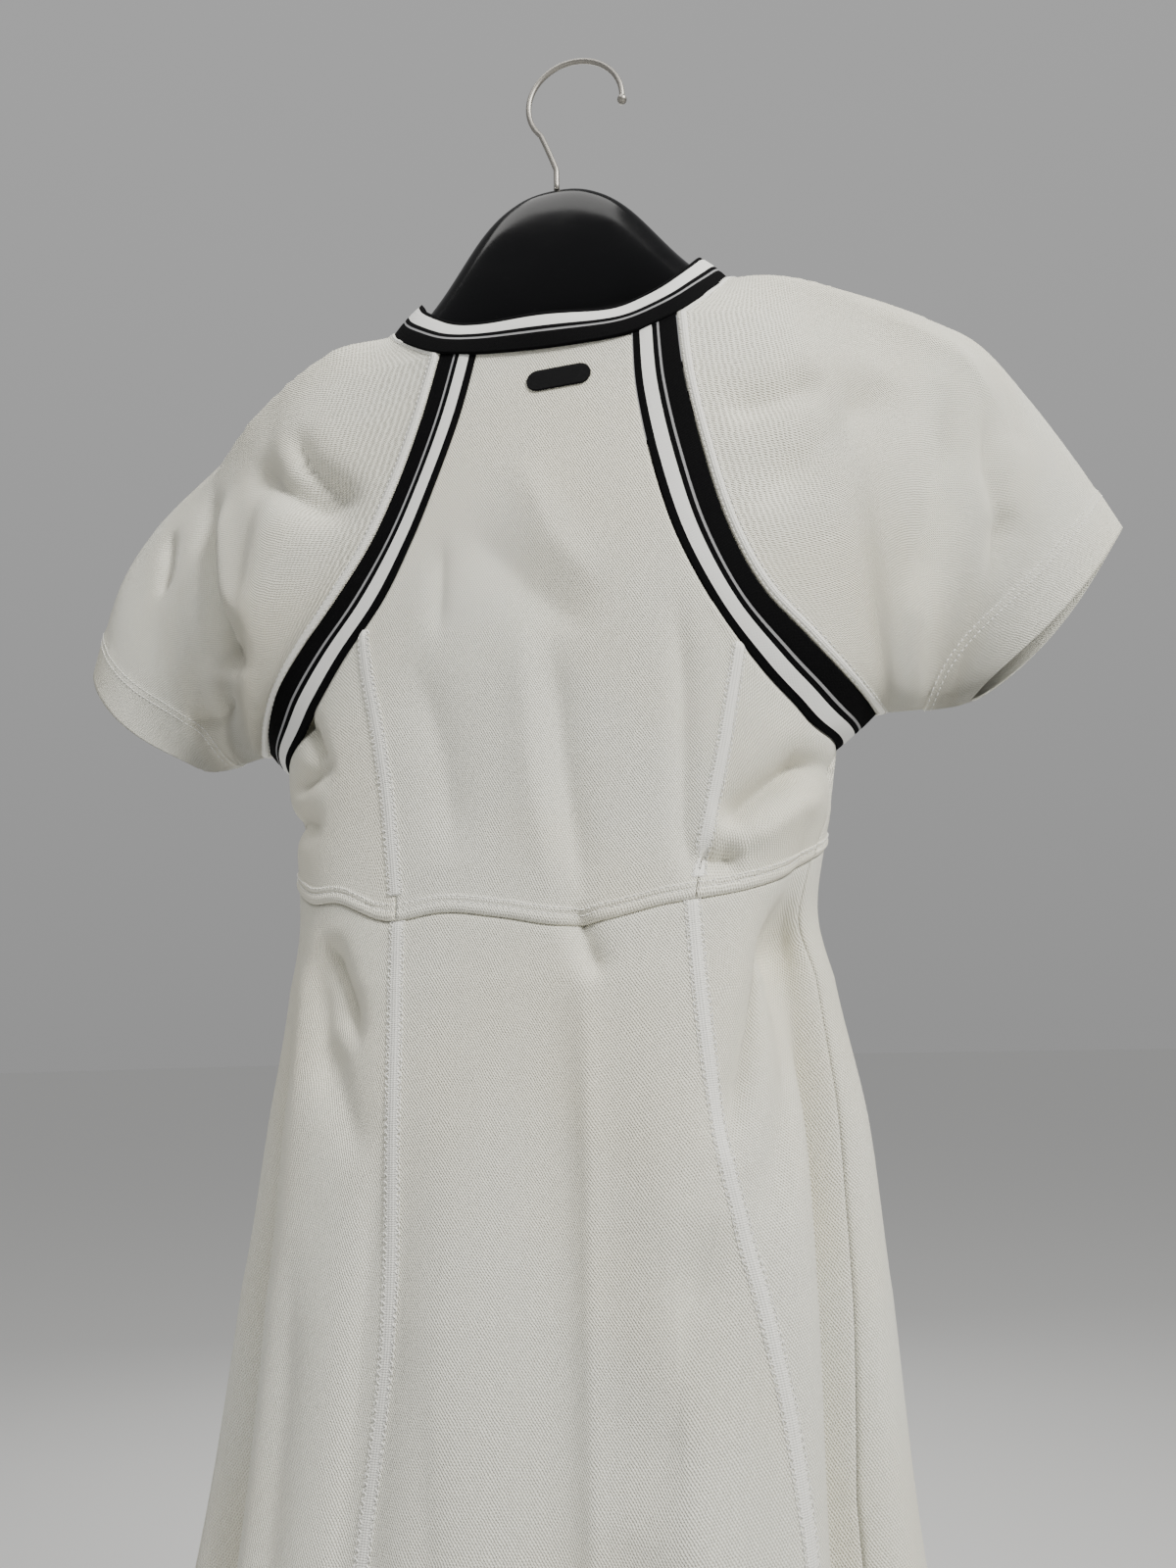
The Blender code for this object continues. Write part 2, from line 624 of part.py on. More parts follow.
def hanger(group, black):
    """A contoured hanger body: oval sections lofted out from the neck, both ways."""
    rows = [(-row[0],) + row[1:] for row in HANGER_SECTIONS[:0:-1]] + list(HANGER_SECTIONS)
    mesh = bpy.data.meshes.new("hanger_body")
    work = bmesh.new()
    tilt_cos, tilt_sin = math.cos(HANGER_TILT), math.sin(HANGER_TILT)
    loops = []
    steps = 2 * (len(rows) - 1)
    for i in range(steps + 1):
        x, y, z, long, thick, lean = spline(rows, i / 2)
        lean = math.radians(lean)
        loop = []
        for k in range(HANGER_SIDES):
            turn = 2 * math.pi * k / HANGER_SIDES
            along, across = long * math.cos(turn), thick * math.sin(turn)
            dy = -along * math.sin(lean) + across * math.cos(lean)
            dz = along * math.cos(lean) + across * math.sin(lean)
            rise = z + dz - HANGER_PIVOT_Z
            loop.append(work.verts.new((x * tilt_cos + rise * tilt_sin, y + dy,
                                        rise * tilt_cos - x * tilt_sin + HANGER_PIVOT_Z)))
        loops.append(loop)
    for first, second in zip(loops, loops[1:]):
        for k in range(HANGER_SIDES):
            n = (k + 1) % HANGER_SIDES
            work.faces.new((first[k], second[k], second[n], first[n]))
    work.faces.new(loops[0])
    work.faces.new(loops[-1][::-1])
    bmesh.ops.recalc_face_normals(work, faces=work.faces)
    work.to_mesh(mesh)
    work.free()
    mesh.shade_smooth()
    piece = bpy.data.objects.new("hanger_body", mesh)
    piece.location.x = PLUMB
    mesh.materials.append(black)
    group.objects.link(piece)


def hook(group, steel):
    """A bent wire: up from the hanger, round under the rail, ending in a small ball."""
    def on_arc(degrees):
        turn = math.radians(degrees)
        return Vector((math.cos(turn), 0, math.sin(turn) - 1)) * HOOK_RADIUS

    points = [Vector((PLUMB, 0, NECK_FOOT_Z + NECK_STEP * i)) for i in range(3)]
    lead = [points[1], points[2], on_arc(HOOK_START_ANGLE), on_arc(HOOK_START_ANGLE + HOOK_LEAD_ANGLE)]
    points += [Vector(spline(lead, 1 + i / LEAD_STEPS)) for i in range(1, LEAD_STEPS)]
    sweep = HOOK_TIP_ANGLE - HOOK_START_ANGLE
    points += [on_arc(HOOK_START_ANGLE + sweep * i / HOOK_STEPS) for i in range(HOOK_STEPS + 1)]
    line = bpy.data.curves.new("hook_wire", "CURVE")
    line.dimensions = "3D"
    line.bevel_depth = WIRE_RADIUS
    line.bevel_resolution = 2
    line.use_fill_caps = True
    path = line.splines.new("POLY")
    path.points.add(len(points) - 1)
    for spot, point in zip(path.points, points):
        spot.co = (*point, 1.0)
    line.materials.append(steel)
    wire = bpy.data.objects.new("hook_wire", line)
    group.objects.link(wire)
    tip = points[-1]
    along = (points[-1] - points[-2]).normalized()
    bpy.ops.mesh.primitive_uv_sphere_add(segments=12, ring_count=8, radius=BALL_RADIUS,
                                         location=tip + along * (BALL_RADIUS + BALL_GAP))
    ball = bpy.context.object
    ball.name = "hook_ball"
    ball.data.materials.append(steel)
    ball.data.shade_smooth()
    for owner in list(ball.users_collection):
        owner.objects.unlink(ball)
    group.objects.link(ball)


def build():
    clear_scene()
    group = new_collection("tennis_dress_on_hanger")
    white = finish_material("white_pique", (0.80, 0.80, 0.76), 0.85)
    stripes = finish_material("striped_rib", (0.03, 0.03, 0.03), 0.8)
    black = finish_material("black_plastic", (0.012, 0.012, 0.014), 0.3)
    print_black = finish_material("black_transfer", (0.01, 0.01, 0.01), 0.5)
    steel = finish_material("satin_steel", (0.62, 0.60, 0.56), 0.35, 1.0)
    bodice(group, white)
    tapes(group, stripes)
    neck_band(group, stripes)
    sleeve(group, "left", SLEEVE_LEFT, RAGLAN_BACK_LEFT, RAGLAN_FRONT_LEFT, white)
    sleeve(group, "right", SLEEVE_RIGHT, RAGLAN_BACK_RIGHT, RAGLAN_FRONT_RIGHT, white)
    skirt(group, white)
    label(group, print_black)
    hanger(group, black)
    hook(group, steel)


build()
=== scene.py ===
import bisect
import math

import bmesh
import bpy
from mathutils import Matrix, Vector


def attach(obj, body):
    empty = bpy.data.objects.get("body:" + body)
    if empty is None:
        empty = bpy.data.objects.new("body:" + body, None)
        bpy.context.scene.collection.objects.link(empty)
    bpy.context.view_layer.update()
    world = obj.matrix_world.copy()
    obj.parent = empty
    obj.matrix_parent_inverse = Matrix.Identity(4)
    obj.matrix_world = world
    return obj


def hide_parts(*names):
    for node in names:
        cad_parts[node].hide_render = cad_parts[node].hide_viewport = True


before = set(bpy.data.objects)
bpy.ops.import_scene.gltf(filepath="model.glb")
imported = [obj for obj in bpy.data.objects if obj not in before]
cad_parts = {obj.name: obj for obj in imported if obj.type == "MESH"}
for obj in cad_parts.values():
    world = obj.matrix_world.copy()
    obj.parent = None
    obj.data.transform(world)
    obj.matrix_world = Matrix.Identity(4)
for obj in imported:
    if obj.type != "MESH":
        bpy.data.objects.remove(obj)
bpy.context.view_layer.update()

# View and light
# The dress hangs with its back to the camera, seen a little from below and from its right. A soft
# light stands high to the right, weak ones fill the rest, and the floor lies well below the hem.
CAMERA_PLACE = (-0.1092, 0.5400, -0.5226)
CAMERA_YAW, CAMERA_PITCH, CAMERA_ROLL = 11.5, 12.0, -1.2
CAMERA_FOCAL_PIXELS, PHOTO_LONG_SIDE, SENSOR = 1203.0, 1600.0, 36.0
FLOOR_Z, FLOOR_RADIUS = -1.30, 40.0

yaw, pitch, roll = (math.radians(v) for v in (CAMERA_YAW, CAMERA_PITCH, CAMERA_ROLL))
forward = Vector((math.sin(yaw) * math.cos(pitch), -math.cos(yaw) * math.cos(pitch), math.sin(pitch)))
level = Vector((-math.cos(yaw), -math.sin(yaw), 0.0))
upright = level.cross(forward)
right_of_view = level * math.cos(roll) + upright * math.sin(roll)
up_of_view = upright * math.cos(roll) - level * math.sin(roll)
camera_data = bpy.data.cameras.new("camera")
camera_data.sensor_width = SENSOR
camera_data.lens = CAMERA_FOCAL_PIXELS * SENSOR / PHOTO_LONG_SIDE
camera = bpy.data.objects.new("camera", camera_data)
camera.matrix_world = Matrix.Translation(CAMERA_PLACE) @ Matrix(
    (right_of_view, up_of_view, -forward)).transposed().to_4x4()
bpy.context.scene.collection.objects.link(camera)
bpy.context.scene.camera = camera

SOFT_LIGHTS = (
    # name, place, aim, width, watts, colour
    ("window_light", (-1.30, 1.00, 0.95), (0.0, 0.0, -0.40), 0.5, 66.0, (1.0, 0.985, 0.94)),
    ("ceiling_light", (0.30, 0.70, 1.60), (0.0, 0.0, -0.40), 1.0, 16.0, (1.0, 0.99, 0.97)),
    ("side_fill", (1.70, 0.70, -0.30), (0.0, 0.0, -0.45), 1.2, 2.0, (0.95, 0.98, 1.0)),
    ("front_fill", (0.60, -2.00, 0.50), (0.0, 0.0, -0.45), 1.4, 18.0, (1.0, 0.99, 0.97)),
)
for name, place, aim, width, watts, colour in SOFT_LIGHTS:
    lamp_data = bpy.data.lights.new(name, "AREA")
    lamp_data.size, lamp_data.energy, lamp_data.color = width, watts, colour
    lamp = bpy.data.objects.new(name, lamp_data)
    lamp.location = place
    lamp.rotation_euler = (Vector(aim) - Vector(place)).to_track_quat("-Z", "Y").to_euler()
    bpy.context.scene.collection.objects.link(lamp)

world = bpy.data.worlds.new("pale_room")
world.use_nodes = True
sky = world.node_tree
height = sky.nodes.new("ShaderNodeSeparateXYZ")
sky.links.new(sky.nodes.new("ShaderNodeTexCoord").outputs["Generated"], height.inputs[0])
climb = sky.nodes.new("ShaderNodeMapRange")
climb.inputs["To Min"].default_value, climb.inputs["To Max"].default_value = 0.40, 0.54
climb.inputs["From Max"].default_value = 0.75
sky.links.new(height.outputs[2], climb.inputs["Value"])
sky.links.new(climb.outputs[0], sky.nodes["Background"].inputs["Color"])
sky.nodes["Background"].inputs["Strength"].default_value = 0.80
bpy.context.scene.world = world

floor_mesh = bpy.data.meshes.new("floor")
floor_work = bmesh.new()
bmesh.ops.create_circle(floor_work, cap_ends=True, segments=96, radius=FLOOR_RADIUS)
floor_work.to_mesh(floor_mesh)
floor_work.free()
floor = bpy.data.objects.new("floor", floor_mesh)
floor.location.z = FLOOR_Z
bpy.context.scene.collection.objects.link(floor)
floor_paint = bpy.data.materials.new("pale_floor")
floor_paint.use_nodes = True
floor_paint.node_tree.nodes["Principled BSDF"].inputs["Base Color"].default_value = (0.72, 0.72, 0.71, 1)
floor_paint.node_tree.nodes["Principled BSDF"].inputs["Roughness"].default_value = 0.9
floor_mesh.materials.append(floor_paint)

# White pique knit
# A polyester pique: a bird's-eye knit of small staggered dimples, soft and matt, a little ivory where
# it has aged. Each dimple is painted darker, as painted shade in its hollow. The knit lies along each
# panel's own cut, which its UV map gives in metres.
WALE, COURSE = 0.00062, 0.00100


def node_maker(tree):
    def add(kind, inputs=(), **settings):
        node = tree.nodes.new(kind)
        for key, value in settings.items():
            setattr(node, key, value)
        for key, value in dict(inputs).items():
            if isinstance(value, bpy.types.NodeSocket):
                tree.links.new(value, node.inputs[key])
            else:
                node.inputs[key].default_value = value
        return node
    return add


def socketed_group(name, inputs, outputs):
    group = bpy.data.node_groups.new(name, "ShaderNodeTree")
    for label, kind, value in inputs:
        socket = group.interface.new_socket(label, in_out="INPUT", socket_type=kind)
        if value is not None:
            socket.default_value = value
    for label, kind in outputs:
        group.interface.new_socket(label, in_out="OUTPUT", socket_type=kind)
    return group, group.nodes.new("NodeGroupInput"), group.nodes.new("NodeGroupOutput")


def sine_of(add, value, half_period):
    scaled = add("ShaderNodeMath", {0: value, 1: math.pi / half_period}, operation="MULTIPLY")
    return add("ShaderNodeMath", {0: scaled.outputs[0]}, operation="SINE").outputs[0]


pique, pique_in, pique_out = socketed_group(
    "pique_knit",
    (("Cut", "NodeSocketVector", None), ("Fuzz", "NodeSocketFloat", 0.35)),
    (("Height", "NodeSocketFloat"), ("Dimple", "NodeSocketFloat"), ("Ageing", "NodeSocketFloat")))
add = node_maker(pique)
wander = add("ShaderNodeTexNoise", {"Vector": pique_in.outputs["Cut"], "Scale": 260.0, "Detail": 1.0})
shifted = add("ShaderNodeVectorMath", {0: wander.outputs["Color"], 1: (0.0009, 0.0009, 0.0),
                                       2: pique_in.outputs["Cut"]}, operation="MULTIPLY_ADD")
place = add("ShaderNodeSeparateXYZ", {0: shifted.outputs[0]})
dots = add("ShaderNodeMath", {0: sine_of(add, place.outputs[0], WALE),
                              1: sine_of(add, place.outputs[1], COURSE)}, operation="MULTIPLY")
fuzz = add("ShaderNodeTexNoise", {"Vector": pique_in.outputs["Cut"], "Scale": 1500.0, "Detail": 2.0})
fuzz_height = add("ShaderNodeMath", {0: fuzz.outputs[0], 1: pique_in.outputs["Fuzz"]}, operation="MULTIPLY")
knit_height = add("ShaderNodeMath", {0: dots.outputs[0], 1: 0.5, 2: fuzz_height.outputs[0]},
                  operation="MULTIPLY_ADD")
# Dimple masks the knit's hollows: it sets their roughness and their painted shade
dimple = add("ShaderNodeMapRange", {"Value": dots.outputs[0], "From Min": -1.0, "From Max": -0.25,
                                    "To Min": 1.0, "To Max": 0.0})
cloud = add("ShaderNodeTexNoise", {"Vector": pique_in.outputs["Cut"], "Scale": 7.0, "Detail": 3.0})
ageing = add("ShaderNodeMapRange", {"Value": cloud.outputs[0], "From Min": 0.42, "From Max": 0.72})
pique.links.new(knit_height.outputs[0], pique_out.inputs["Height"])
pique.links.new(dimple.outputs[0], pique_out.inputs["Dimple"])
pique.links.new(ageing.outputs[0], pique_out.inputs["Ageing"])


def new_finish(name):
    """A material with its tree, its node maker and its shader."""
    material = bpy.data.materials.new(name)
    material.use_nodes = True
    tree = material.node_tree
    return material, tree, node_maker(tree), tree.nodes["Principled BSDF"]


def pique_cloth(name, white, ivory, ageing_share, bump):
    material, tree, add, shader = new_finish(name)
    cut = add("ShaderNodeUVMap", uv_map="cut")
    knit = tree.nodes.new("ShaderNodeGroup")
    knit.node_tree = pique
    tree.links.new(cut.outputs[0], knit.inputs["Cut"])
    share = add("ShaderNodeMath", {0: knit.outputs["Ageing"], 1: ageing_share}, operation="MULTIPLY")
    tone = add("ShaderNodeMix", {0: share.outputs[0], 6: (*white, 1), 7: (*ivory, 1)}, data_type="RGBA")
    # painted shade: the dimples are darkened in colour towards a dimmed ivory, standing in for the shade in
    # their hollows
    dimple_shade_share = add("ShaderNodeMath", {0: knit.outputs["Dimple"], 1: 0.85}, operation="MULTIPLY")
    shade = tuple(v * 0.55 for v in ivory)
    base = add("ShaderNodeMix", {0: dimple_shade_share.outputs[0], 6: tone.outputs[2], 7: (*shade, 1)}, data_type="RGBA")
    tree.links.new(base.outputs[2], shader.inputs["Base Color"])
    rough = add("ShaderNodeMapRange", {"Value": knit.outputs["Dimple"], "To Min": 0.78, "To Max": 0.95})
    tree.links.new(rough.outputs[0], shader.inputs["Roughness"])
    relief = add("ShaderNodeBump", {"Height": knit.outputs["Height"], "Strength": bump, "Distance": 0.0005})
    tree.links.new(relief.outputs[0], shader.inputs["Normal"])
    shader.inputs["Sheen Weight"].default_value = 0.12
    shader.inputs["Sheen Roughness"].default_value = 0.4
    shader.inputs["Specular IOR Level"].default_value = 0.25
    return material


white_pique = pique_cloth("white_pique_knit", (0.84, 0.835, 0.745), (0.84, 0.785, 0.62), 0.60, 1.0)

# Bodice
# Six panels of the knit, back and front: a centre panel that runs up to the neckband and a small
# panel under each arm, joined by princess seams that are covered by a flat strip of stitching.
PLUMB = 0.011
CLOTH, LEAST_FILL = 0.0013, 0.3
SEAM_GAP = 0.00032
WAIST_MID_Z, WAIST_DROP = -0.4415, 0.0315
FLATNESS = 0.25
STRIP, STRIP_RISE = 0.0036, 0.00030
WELT_RIDGE, WELT_RISE = 0.0044, 0.00125
WELT_TOP, WELT_TOP_RISE = 0.0074, 0.00070
EDGE_TURN, EDGE_DIP = 0.0011, 0.00030
BAND_STEP = 0.0012
WELT_ROUND, WELT_TOP_ROUND = 0.6, 0.7
FOLD_SHARPNESS, FOLD_REACH = 1.6, 4

RINGS = (
    # z, middle, half_width, back, front
    (-0.170, 0.000, 0.134, 0.040, 0.038),
    (-0.200, 0.001, 0.134, 0.0455, 0.042),
    (-0.300, 0.003, 0.136, 0.0545, 0.054),
    (-0.395, 0.006, 0.133, 0.0545, 0.060),
    (-0.430, 0.007, 0.128, 0.055, 0.059),
    (-0.470, 0.008, 0.122, 0.058, 0.055),
    (-0.500, 0.0075, 0.127, 0.062, 0.057),
    (-0.560, 0.007, 0.137, 0.070, 0.064),
    (-0.630, 0.009, 0.144, 0.077, 0.071),
    (-0.750, 0.013, 0.156, 0.086, 0.082),
    (-0.980, 0.016, 0.184, 0.104, 0.100),
)
FOLDS = (
    # top_z, foot_z, top_angle, foot_angle, spread, depth, fade_in, fade_out
    (-0.470, -1.100, 97, 105, 11, -0.007, 0.12, 0.00),
    (-0.520, -1.100, 114, 124, 9, 0.007, 0.16, 0.00),
    (-0.520, -1.100, 78, 84, 12, 0.005, 0.16, 0.00),
    (-0.410, -0.620, 164, 156, 9, -0.007, 0.05, 0.10),
    (-0.462, -0.625, 163, 127, 7, -0.009, 0.03, 0.07),
    (-0.470, -1.100, 161, 137, 8, -0.026, 0.13, 0.00),
    (-0.405, -0.465, 4, 4, 9, -0.005, 0.02, 0.03),
    (-0.475, -1.100, 20, 44, 8, -0.020, 0.14, 0.00),
    (-0.530, -1.100, 71, 66, 6, -0.006, 0.12, 0.00),
    (-0.480, -0.560, 34, 52, 6, -0.006, 0.03, 0.04),
    (-0.440, -1.100, 266, 262, 13, 0.009, 0.20, 0.00),
    (-0.460, -1.100, 236, 231, 9, -0.010, 0.20, 0.00),
    (-0.480, -1.100, 205, 214, 8, -0.015, 0.16, 0.00),
    (-0.450, -1.100, 296, 300, 9, -0.009, 0.18, 0.00),
    (-0.470, -1.100, 331, 322, 8, -0.016, 0.16, 0.00),
)
RAGLAN = {
    # body_x, body_z, sleeve_x, sleeve_y, sleeve_z
    ("back", "left"): (
        (0.0310, -0.1985, 0.0500, 0.0430, -0.1950),
        (0.0390, -0.2335, 0.0587, 0.0455, -0.2305),
        (0.0500, -0.2680, 0.0705, 0.0460, -0.2645),
        (0.0610, -0.2965, 0.0840, 0.0460, -0.2935),
        (0.0755, -0.3242, 0.1020, 0.0440, -0.3190),
        (0.0945, -0.3470, 0.1205, 0.0385, -0.3390),
        (0.1110, -0.3680, 0.1360, 0.0300, -0.3555),
        (0.1250, -0.3840, 0.1475, 0.0160, -0.3700),
        (0.1390, -0.3945, 0.1540, 0.0000, -0.3790),
    ),
    ("back", "right"): (
        (-0.0450, -0.1985, -0.0660, 0.0400, -0.1885),
        (-0.0465, -0.2300, -0.0690, 0.0445, -0.2230),
        (-0.0535, -0.2706, -0.0755, 0.0465, -0.2590),
        (-0.0640, -0.3080, -0.0850, 0.0470, -0.2980),
        (-0.0800, -0.3420, -0.0985, 0.0455, -0.3300),
        (-0.0970, -0.3680, -0.1170, 0.0395, -0.3530),
        (-0.1100, -0.3830, -0.1300, 0.0310, -0.3670),
        (-0.1190, -0.3920, -0.1405, 0.0160, -0.3765),
        (-0.1270, -0.3960, -0.1460, 0.0000, -0.3805),
    ),
    ("front", "left"): (
        (0.0270, -0.2420, 0.0460, -0.0410, -0.2310),
        (0.0390, -0.2700, 0.0590, -0.0450, -0.2590),
        (0.0530, -0.2985, 0.0730, -0.0475, -0.2860),
        (0.0710, -0.3250, 0.0910, -0.0480, -0.3110),
        (0.0900, -0.3480, 0.1110, -0.0455, -0.3320),
        (0.1070, -0.3670, 0.1280, -0.0400, -0.3490),
        (0.1200, -0.3810, 0.1410, -0.0300, -0.3635),
        (0.1305, -0.3905, 0.1500, -0.0150, -0.3745),
        (0.1390, -0.3945, 0.1540, 0.0000, -0.3790),
    ),
    ("front", "right"): (
        (-0.0300, -0.2420, -0.0490, -0.0405, -0.2290),
        (-0.0400, -0.2705, -0.0605, -0.0450, -0.2590),
        (-0.0520, -0.3000, -0.0730, -0.0475, -0.2880),
        (-0.0680, -0.3270, -0.0890, -0.0480, -0.3130),
        (-0.0855, -0.3510, -0.1065, -0.0455, -0.3340),
        (-0.1010, -0.3700, -0.1220, -0.0400, -0.3510),
        (-0.1120, -0.3835, -0.1340, -0.0300, -0.3655),
        (-0.1205, -0.3925, -0.1420, -0.0150, -0.3765),
        (-0.1270, -0.3960, -0.1460, 0.0000, -0.3805),
    ),
}
RAGLAN_STEPS, PRINCESS_STEP, SEAM_END_TRIES = 96, 54, 6
WAIST_WAVES = (
    # degrees, rise
    (0, 0.0), (20, -0.0020), (32, -0.0030), (45, 0.0010), (60, -0.0035), (74, 0.0020), (86, 0.0),
    (98, -0.0045), (107, -0.0040), (120, -0.0010), (139, -0.0020), (160, -0.0020), (180, 0.0),
    (215, 0.0015), (240, -0.0015), (265, 0.0010), (290, -0.0020), (320, 0.0010), (360, 0.0),
)
BODICE_SEAMS = (
    # z, back_left, back_right, front_left, front_right
    (-0.340, 0.0885, -0.0800, 0.0820, -0.0790),
    (-0.400, 0.0760, -0.0740, 0.0740, -0.0710),
    (-0.440, 0.0690, -0.0685, 0.0690, -0.0660),
    (-0.480, 0.0635, -0.0640, 0.0650, -0.0620),
)
SIDE_SEAMS = (
    # z, left, right
    (-0.360, 0, 180),
    (-0.400, 0, 180),
    (-0.450, 7, 170),
    (-0.560, 9, 166),
    (-0.700, 14, 158),
    (-0.980, 24, 147),
)
CREASE_STRENGTH, CREASE_REACH = 1.5, 3.2
CREASE_FADE, CREASE_END = 3.0, 0.12
CREASE, RIDGE = 1.5, 1.0
BODY_CREASES = {
    # width, depth, sharpness, points in x and z
    "back": (
        (0.0050, -0.0024, CREASE, ((-0.0627, -0.330), (-0.0641, -0.377), (-0.0618, -0.439),
            (-0.0661, -0.466))),
        (0.0045, -0.0020, CREASE, ((0.0457, -0.296), (0.0465, -0.322), (0.0473, -0.346))),
        (0.0075, -0.0028, CREASE, ((-0.0053, -0.345), (-0.0109, -0.408), (-0.0204, -0.475))),
        (0.0090, 0.0016, CREASE, ((0.0080, -0.335), (0.0050, -0.400), (-0.0040, -0.470))),
        (0.0065, -0.0080, CREASE, ((-0.0740, -0.4345), (-0.0840, -0.4310), (-0.0960, -0.4220),
            (-0.1120, -0.4100), (-0.1300, -0.4040))),
        (0.0060, 0.0035, CREASE, ((-0.0800, -0.4480), (-0.0960, -0.4380), (-0.1080, -0.4270),
            (-0.1220, -0.4180))),
        (0.0060, -0.0050, CREASE, ((-0.0660, -0.4480), (-0.0740, -0.4520), (-0.0860, -0.4500))),
        (0.0045, -0.0040, CREASE, ((0.1190, -0.372), (0.1130, -0.385), (0.1070, -0.396))),
        (0.0050, -0.0040, CREASE, ((0.1290, -0.407), (0.1150, -0.402), (0.0990, -0.395))),
        (0.0060, -0.0040, CREASE, ((0.1390, -0.424), (0.1240, -0.421), (0.1060, -0.428))),
        (0.0140, -0.0030, CREASE, ((0.0380, -0.288), (0.0035, -0.326), (-0.0260, -0.350))),
        (0.0100, 0.0016, CREASE, ((0.0100, -0.255), (-0.0060, -0.300), (-0.0300, -0.330))),
        (0.0110, -0.0024, CREASE, ((0.0600, -0.350), (0.0450, -0.400), (0.0380, -0.450))),
        (0.0060, -0.0040, CREASE, ((-0.0160, -0.468), (-0.0200, -0.486), (-0.0270, -0.502))),
        (0.0070, -0.0060, CREASE, ((0.1040, -0.476), (0.0978, -0.4905), (0.0896, -0.5055),
            (0.0790, -0.5290))),
        (0.0100, -0.0030, CREASE, ((0.0980, -0.520), (0.0880, -0.545), (0.0740, -0.575))),
        (0.0080, -0.0070, CREASE, ((-0.1080, -0.4560), (-0.0970, -0.4871), (-0.0874, -0.5218),
            (-0.0813, -0.5445), (-0.0745, -0.5720))),
        (0.0160, -0.0045, CREASE, ((-0.0703, -0.590), (-0.0584, -0.643), (-0.0400, -0.700))),
        (0.0070, 0.0024, CREASE, ((-0.0185, -0.472), (-0.0224, -0.5758), (-0.0232, -0.711),
            (-0.0230, -0.820))),
        (0.0060, -0.0022, CREASE, ((0.0650, -0.545), (0.0690, -0.6138), (0.0720, -0.680),
            (0.0800, -0.760))),
        (0.0080, -0.0016, CREASE, ((0.0440, -0.640), (0.0360, -0.760), (0.0300, -0.900))),
        (0.0120, -0.0030, CREASE, ((0.1050, -0.600), (0.1090, -0.700), (0.1180, -0.860))),
    ),
    "front": (
        (0.0060, -0.0034, CREASE, ((0.0620, -0.330), (0.0540, -0.360), (0.0560, -0.410))),
        (0.0080, -0.0030, CREASE, ((-0.0520, -0.315), (-0.0480, -0.350), (-0.0560, -0.405))),
        (0.0100, -0.0028, CREASE, ((0.0040, -0.300), (0.0100, -0.350), (0.0060, -0.405))),
        (0.0060, -0.0050, CREASE, ((0.0880, -0.430), (0.1040, -0.414), (0.1240, -0.404))),
        (0.0065, -0.0055, CREASE, ((-0.0780, -0.424), (-0.0940, -0.410), (-0.1140, -0.403))),
        (0.0090, -0.0036, CREASE, ((-0.0300, -0.425), (-0.0360, -0.520), (-0.0300, -0.640))),
        (0.0070, 0.0026, CREASE, ((0.0280, -0.420), (0.0240, -0.540), (0.0300, -0.680))),
        (0.0140, -0.0036, CREASE, ((0.0100, -0.620), (0.0160, -0.760), (0.0060, -0.930))),
        (0.0080, -0.0060, CREASE, ((0.1020, -0.440), (0.0920, -0.480), (0.0820, -0.530))),
        (0.0080, -0.0050, CREASE, ((-0.0960, -0.450), (-0.0860, -0.500), (-0.0800, -0.560))),
    ),
}


def spline(rows, place):
    """Smooth value through the rows at a place from 0 to the last row's number."""
    last = len(rows) - 1
    place = min(max(place, 0.0), float(last))
    step = min(int(place), last - 1)
    t = place - step
    before, start = rows[max(step - 1, 0)], rows[step]
    end, after = rows[step + 1], rows[min(step + 2, last)]
    values = []
    for a, b, c, d in zip(before, start, end, after):
        slope_in, slope_out = (c - a) / 2, (d - b) / 2
        bend = 2 * b - 2 * c + slope_in + slope_out
        turn = 3 * c - 3 * b - 2 * slope_in - slope_out
        values.append(((bend * t + turn) * t + slope_in) * t + b)
    return values


def at_height(table, z):
    """A table's other columns at height z, eased between its rows, which run down."""
    if z >= table[0][0]:
        return table[0][1:]
    if z <= table[-1][0]:
        return table[-1][1:]
    step = bisect.bisect_left([-row[0] for row in table], -z) - 1
    share = (table[step][0] - z) / (table[step][0] - table[step + 1][0])
    return spline(table, step + share)[1:]


def eased(value):
    value = min(max(value, 0.0), 1.0)
    return value * value * (3 - 2 * value)


def fold_depth(degrees, z):
    total = 0.0
    for top, foot, top_angle, foot_angle, spread, depth, fade_in, fade_out in FOLDS:
        if foot < z < top:
            down = (top - z) / (top - foot)
            off = (degrees - (top_angle + (foot_angle - top_angle) * down) + 180) % 360 - 180
            if abs(off) < FOLD_REACH * spread:
                strength = eased((top - z) / fade_in)
                if fade_out:
                    strength *= eased((z - foot) / fade_out)
                total += depth * strength * math.exp(-abs(off / spread) ** FOLD_SHARPNESS)
    return total


def body_point(angle, z):
    """The middle of the cloth at an angle round the body and a height."""
    middle, half, back, front = at_height(RINGS, z)
    across, along = math.cos(angle), math.sin(angle)
    depth = back if along > 0 else front
    base = Vector((middle + half * across, depth * along * (1 + FLATNESS * across * across), z))
    outward = Vector((across / half, along / depth, 0)).normalized()
    return base + outward * fold_depth(math.degrees(angle), z)


def angle_at(x, z, front=False):
    middle, half, _, _ = at_height(RINGS, z)
    angle = math.acos(min(max((x - middle) / half, -1.0), 1.0))
    return 2 * math.pi - angle if front else angle


def waist_z(angle):
    """The waist seam droops at the back and wanders by a few millimetres where the welt is stiff."""
    degrees = math.degrees(angle) % 360
    step = max(i for i, row in enumerate(WAIST_WAVES) if row[0] <= degrees)
    step = min(step, len(WAIST_WAVES) - 2)
    share = (degrees - WAIST_WAVES[step][0]) / (WAIST_WAVES[step + 1][0] - WAIST_WAVES[step][0])
    return WAIST_MID_Z - WAIST_DROP * math.sin(angle) + spline(WAIST_WAVES, step + share)[1]


